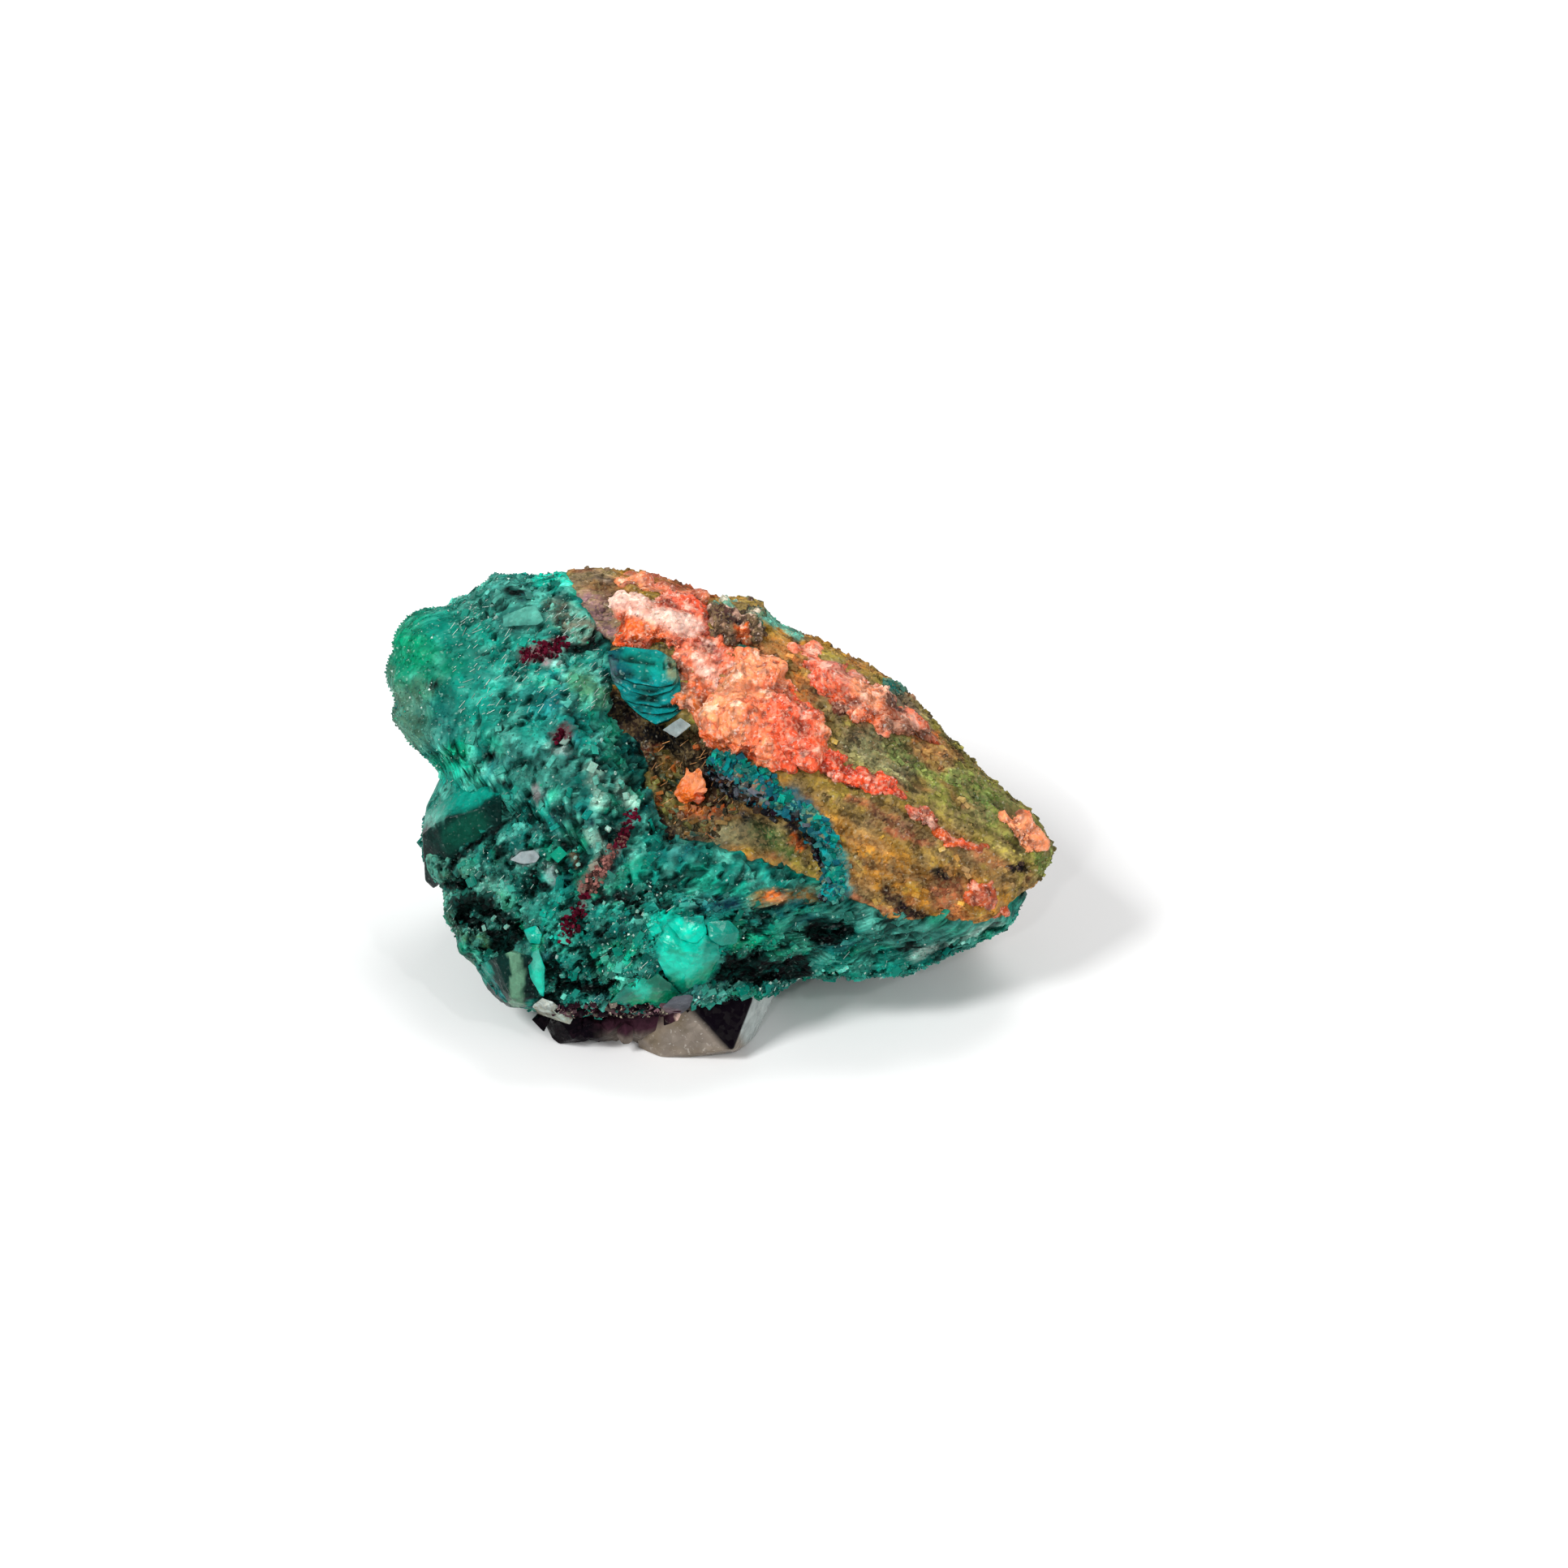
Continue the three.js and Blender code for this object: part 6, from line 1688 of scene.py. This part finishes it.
# %% Speckle
at_lobe = (mass_front["past"] < -0.4) & ~off_lobe
chosen = np.concatenate([pick(mass_front, 6200, off_lobe), rng.choice(np.flatnonzero(at_lobe), 900)])
size = 0.045 + 0.11 * between(0, 1, chosen) ** 2
SPECKLE_TONES = ("seafoam", "turquoise", "mint", "navy", "pitch", "aqua", "jade")
speckle = mix(tones_at(mass_front, chosen, 0.5, 1.6), any_of(SPECKLE_TONES, chosen),
              between(0, 0.8, size) ** 1.5)
# Painted glints: one chip in twenty-five goes bright white.
speckle = mix(speckle, TONE["frosty"] * 1.2, 1.0 * (between(0, 1, size) < 0.04))
at, normal = feet(mass_front, chosen)
small_crystals("speckle", ON_MASS, CRYSTAL, [chips(at + 0.5 * size * normal, size)], [speckle], white_fleck_and_glint=0.1)

# %% White needles, painted glints
glint_needle_zone = (np.abs(u + 13.5) < 6.5) & (v > 18) & (v < 26)
chosen = np.concatenate([pick(mass_front, 240, glint_needle_zone), pick(mass_front, 130, off_lobe)])
at, normal = feet(mass_front, chosen)
long_way = lying(normal, 0.25)
across = unit(np.cross(normal, long_way))
length = 0.05 + 0.4 * between(0, 1, chosen) ** 2
made = [rhombs(at + 0.05 * normal, long_way * length, across * 0.014, normal * 0.02)]
small_crystals("glint_needles", ON_MASS, CRYSTAL, made, [TONE["frosty"] * between(0.5, 1.4, chosen)])

# %% [markdown]
# ## Maroon veins and purple druse
# Dark red crystals follow short cracks. Along its lower edge the druse turns purple and black.

# %% Maroon veins
VEIN_PATHS = [
    [-14.3, 22.5, -13, 23, 0.45], [-13, 22.7, -11.5, 23.3, 0.5], [-11.7, 16.4, -11.5, 16.5, 0.45],
    [-6.3, 10.5, -7.3, 8.4, 0.38], [-9.7, 4.7, -10.2, 3.6, 0.3], [-10.5, 3.4, -11.1, 2.7, 0.42],
    [-10.6, 2.4, -11.3, 1.4, 0.32], [-7.0, 9.0, -8.2, 7.4, 0.35], [-8.4, 7.0, -9.5, 5.4, 0.55],
]
made, tones = [], []
for u1, v1, u2, v2, reach in VEIN_PATHS:
    zone = (mass_front["past"] < -0.2) & (stretch_distance(u, v, u1, v1, u2, v2) < reach)
    chosen = rng.choice(np.flatnonzero(zone), 12 + int(80 * reach * (0.5 + np.hypot(u2 - u1, v2 - v1))))
    at, size = mass_front["at"][chosen], between(0.06, 0.16, chosen)
    at = at + 0.12 * rng.normal(size=at.shape)
    made.append(tumbled(at, size, 0.8, 0.6))
    tones.append(TONE["rose" if -9.8 < u2 < -7.5 else "maroon"] * between(0.15, 0.95, chosen))
small_crystals("maroon_crystals", ON_MASS, DRUSE_DARK, made, tones, white_fleck_and_glint=0.0)

# %% Purple druse
zone = (mass_front["past"] < -0.2) & (u > -12.2) & (u < -2.2) & (v < -3.2)
chosen = rng.choice(np.flatnonzero(zone), 420)
at, size = mass_front["at"][chosen], between(0.1, 0.3, chosen)
made = [tumbled(at, size, 0.8, 0.6)]
PURPLES = ("black", "plum", "plum", "grape", "mauve", "taupe")
tones = [any_of(PURPLES, chosen) * between(0.3, 1.0, chosen)]
small_crystals("purple_druse", ON_CLUSTER, DRUSE_DARK, made, tones, white_fleck_and_glint=0.6)

# %% [markdown]
# ## Beads, rubble and fibres
# Pale beads sit in hollows of the druse. The recess is full of broken slab, with a few
# straw-coloured fibres.

# %% Pale beads
# Place on the face and width of each bead.
BEADS = [
    [-9.3, 14.1, 0.75], [-9.0, 13.2, 0.6], [-8.9, 12.2, 0.55], [-9.2, 11.6, 0.4], [-7.2, 12.9, 0.55],
    [-6.8, 12, 0.5], [-9.4, 9.2, 0.5], [-8.8, 8.4, 0.45], [-8.1, 9.6, 0.4], [-10.5, 7.5, 0.25],
    [-10.3, 7, 0.28], [-10.6, 8, 0.22], [-12.5, 6.9, 0.4], [-12.3, 5.9, 0.45], [-12.9, 6.4, 0.3],
    [-11.9, 6.5, 0.3], [-13.6, -0.9, 0.4], [-17, 5.9, 0.4], [-17.6, 6.4, 0.35], [-16.2, 4.6, 0.3],
    [-5.4, 3.4, 0.4], [-5.9, 3.6, 0.3], [-7.6, 2.6, 0.3], [-8.4, 4.2, 0.3], [-15.6, 2.4, 0.35],
    [-17.4, 2.2, 0.45], [-16.6, 3, 0.4],
]
beads = np.array(BEADS)
at = on_face(beads[:, 0], beads[:, 1], front_level(beads[:, 0], beads[:, 1]) + 0.25)
turned = unit(rng.normal(size=(len(beads), 3)))
second = unit(np.cross(turned, rng.normal(size=(len(beads), 3))))
third = unit(np.cross(turned, second) + 0.2 * turned)
size = beads[:, 2:] * 0.5
made = [rhombs(at - 0.12 * ALONG_N, turned * size, second * size * 0.8, third * size * 0.6)]
bead_tones = mix(TONE["seafoam"], TONE["mint"], between(0, 1, beads))
small_crystals("pale_beads", ON_MASS, GEM, made, [bead_tones * 0.9], white_fleck_and_glint=0.5)

# %% Rubble and fibres of the recess
u, v = host_front["u"], host_front["v"]
hollow = np.hypot((u + 3.2) / 4.6, (v - 12.8) / 4.6) < 1.0
chosen = pick(host_front, 600, hollow)
chosen = chosen[lightness(host_front["tint"][chosen]) > 0.5]
at, normal = feet(host_front, chosen)
size = between(0.1, 0.4, chosen)
made = [tumbled(at, size, 0.7, 0.4)]
RUBBLE_TONES = ("moss", "ochre", "rust", "khaki", "umber", "teal", "brown")
tones = [mix(host_front["tint"][chosen], any_of(RUBBLE_TONES, chosen), 0.5) * between(0.2, 1.1, chosen)]
chosen = pick(host_front, 60, hollow)
at, normal = feet(host_front, chosen)
long_way = random_ways(len(chosen), 0.35, SLANT)
across = unit(np.cross(long_way, normal))
FIBRE = 0.022
made.append(rhombs(at + 0.15 * normal, long_way * between(0.1, 0.5, chosen), across * FIBRE,
                   np.cross(long_way, across) * FIBRE))
tones.append(mix(TONE["ochre"], TONE["cream"], 0.4) * between(0.3, 1, chosen))
small_crystals("recess_rubble", ON_SLAB, HOST, made, tones)

# %% [markdown]
# ## The teal rim
# A band of slate and teal crystals borders the recess: a chain of low blocks, with small ones
# strewn along the same path.

# %% Blocks of the teal rim
# Place on the face, half width and tone along the band.
RIM_BAND = [
    [-0.6, 14.6, 0.5, "slate"], [0.9, 14.0, 0.8, "petrol"], [2.4, 13.2, 0.8, "slate"],
    [3.7, 12.3, 0.8, "petrol"], [4.9, 11.3, 0.6, "petrol"], [6.3, 10.8, 0.6, "sea"],
    [7.3, 9.7, 0.8, "aqua"], [8.1, 8.4, 0.8, "aqua"], [8.5, 7.0, 0.8, "sea"], [8.5, 5.6, 0.8, "aqua"],
    [8.0, 4.3, 0.5, "teal"],
]
blocks, tones = [], []
for (u1, v1, w1, tone), (u2, v2, w2, _) in zip(RIM_BAND[:-1], RIM_BAND[1:]):
    along = unit(np.array([u2 - u1, v2 - v1]))
    side_way = np.array([along[1], -along[0]])
    ends = np.array([[u1, v1] - 0.15 * along + side_way * w1, [u1, v1] - 0.15 * along - side_way * w1,
                     [u2, v2] + 0.15 * along + side_way * w2, [u2, v2] + 0.15 * along - side_way * w2,
                     [(u1 + u2) / 2, (v1 + v2) / 2]])
    lift = np.array([0.05, 0.1, 0.05, 0.1, 0.45]) + 0.1 * rng.normal(size=5)
    level = front_level(*ends.T)
    corners = np.concatenate([on_face(*ends.T, level + lift), on_face(*ends.T, level - 0.7)])
    blocks.append(wrapped(corners, 0.05, 2))
    tones.append(np.tile(TONE[tone], (len(blocks[-1][0]), 1)))
points, faces = joined(blocks)
tint = np.concatenate(tones) * (1 + 0.5 * fractal(points, 0.8, 451, 4))[:, None]
tint = toward(tint, "sage", 0.5 * ease(0.1, 0.6, fractal(points, 0.9, 453)))
tint = toward(tint, "ochre", 0.5 * ease(0.3, 0.6, fractal(points, 1.1, 455)))
points = points + 0.2 * np.stack([fractal(points, 0.7, 457 + k, 3) for k in range(3)], -1)
make_piece("teal_rim", ON_SLAB, points, faces, CRYSTAL, np.clip(tint, 0, 1), (0.0, 0.4, 0.2), smooth=False)

# %% Crystals of the teal rim
path = np.array([place[:3] for place in RIM_BAND])
along = (len(path) - 1.001) * rng.uniform(0, 1, 700) ** 1.6
low = along.astype(int)
middle = mix(path[low], path[low + 1], (along - low)[:, None])
way = unit(path[low + 1, :2] - path[low, :2])
aside = rng.uniform(-1.5, 1.0, len(along)) * (1.0 + 0.5 * (low < 4))
place = middle[:, :2] + (aside * middle[:, 2])[:, None] * np.stack([way[:, 1], -way[:, 0]], axis=-1) * -1.0
at = on_face(*place.T, front_level(*place.T) + 0.05 + 0.3 * rng.uniform(0, 1, len(along)) * (aside > -0.8))
size = 0.08 + 0.26 * between(0, 1, at) ** 2
made = [tumbled(at, size, 0.8, 0.5, upright=0.5)]
outer = np.array([TONE[k] for k in ("teal", "sea", "aqua", "sage", "petrol")])
inner = np.array([TONE[k] for k in ("black", "slate", "grape", "petrol", "umber")])
kinds = rng.integers(0, 5, len(at))
tone = mix(inner[kinds], outer[kinds], ease(-0.9, -0.1, aside + 0.3 * rng.normal(size=len(at)))[:, None])
tone = tone * between(0.5, 1.3, size)
small_crystals("rim_crystals", ON_SLAB, CRYSTAL, made, [tone], white_fleck_and_glint=0.1)

# %% [markdown]
# ## Sugar and grit
# Chips of its own tone stand on each calcite body, one piece for each node. Grains of the slab
# lie along its foliation.

# %% Calcite sugar
for place, skins in calcite_skins.items():
    at, normal, tone = (np.concatenate(rows) for rows in zip(*skins))
    upper = np.flatnonzero(normal @ ALONG_N > 0.3)
    chosen = rng.choice(upper, len(upper) // 12)
    size = 0.05 + 0.16 * between(0, 1, chosen) ** 3
    tones = [mix(tone[chosen] * between(0.55, 1.25, chosen), TONE["blush"],
                 0.6 * between(0, 1, chosen) ** 4)]
    small_crystals(f"{place[0]}_sugar", place, CALCITE, [chips(at[chosen], size)], tones, white_fleck_and_glint=0.3)

# %% Grains and chips of the slab
chosen = pick(host_front, 1300, ~hollow)
at, normal = feet(host_front, chosen)
along_grain = unit(on_face(np.cos(0.5), -np.sin(0.5), 0.0))
long_way = random_ways(len(chosen), 0.5, along_grain)
size = 0.08 + 0.22 * between(0, 1, chosen) ** 3
across = unit(np.cross(normal, long_way))
made = [rhombs(at, long_way * size, across * size * 0.6, np.cross(long_way, across) * size * 0.5)]
small_crystals("slab_grains", ON_SLAB, HOST, made, [tones_at(host_front, chosen, 0.6, 1.6)])
chosen = pick(host_front, 3600)
size = 0.04 + 0.11 * between(0, 1, chosen) ** 2
tone = tones_at(host_front, chosen, 0.5, 1.5, "cream", 0.25)
small_crystals("slab_chips", ON_SLAB, HOST, [chips(host_front["at"][chosen], size)], [tone])

# %% [markdown]
# ## Floor and light
# A pale floor, a pale sky and soft lights.

# %% Floor
FLOOR_SIZE = 3.0
floor_mesh = bpy.data.meshes.new("floor")
floor_corners = FLOOR_SIZE * np.array([[-1, -1, 0], [1, -1, 0], [1, 1, 0], [-1, 1, 0]])
floor_mesh.from_pydata(floor_corners.tolist(), [], [(0, 1, 2, 3)])
floor = linked("floor", floor_mesh)
floor_paint = bpy.data.materials.new("pale floor")
floor_paint.use_nodes = True
floor_shader = floor_paint.node_tree.nodes["Principled BSDF"]
floor_shader.inputs["Base Color"].default_value = (0.86, 0.86, 0.86, 1)
floor_shader.inputs["Roughness"].default_value = 0.9
floor_mesh.materials.append(floor_paint)
print("floor of", 2 * FLOOR_SIZE, "m a side")

# %% [markdown]
# ## Lamps
# Powers are in watts, places in metres. Two small lamps give the crystals something sharp to
# flash back.

# %% Light
SKY_STRENGTH = 0.36
MIDDLE_HEIGHT = 0.013
world = bpy.data.worlds.new("studio")
bpy.context.scene.world = world
world.use_nodes = True
world.node_tree.nodes["Background"].inputs[0].default_value = (1, 1, 1, 1)
world.node_tree.nodes["Background"].inputs[1].default_value = SKY_STRENGTH


def lamp(name, place, size, watts):
    """Square area light that faces the specimen's middle."""
    data = bpy.data.lights.new(name, "AREA")
    data.size = size
    data.energy = watts
    light = linked(name, data)
    light.location = place
    aim = Vector((0, 0, MIDDLE_HEIGHT)) - light.location
    light.rotation_euler = aim.to_track_quat("-Z", "Y").to_euler()


lamp("key", (-0.38, -0.32, 0.55), 0.2, 4.2)
lamp("fill", (0.5, -0.4, 0.35), 0.4, 1.2)
lamp("top", (0.1, 0.25, 0.6), 0.25, 1.6)
lamp("spark left", (-0.12, -0.6, 0.42), 0.02, 0.5)
lamp("spark right", (0.3, -0.45, 0.5), 0.02, 0.4)
bpy.context.scene.view_settings.view_transform = "Standard"
print("lamps:", [light.name for light in bpy.data.lights])

# %% [markdown]
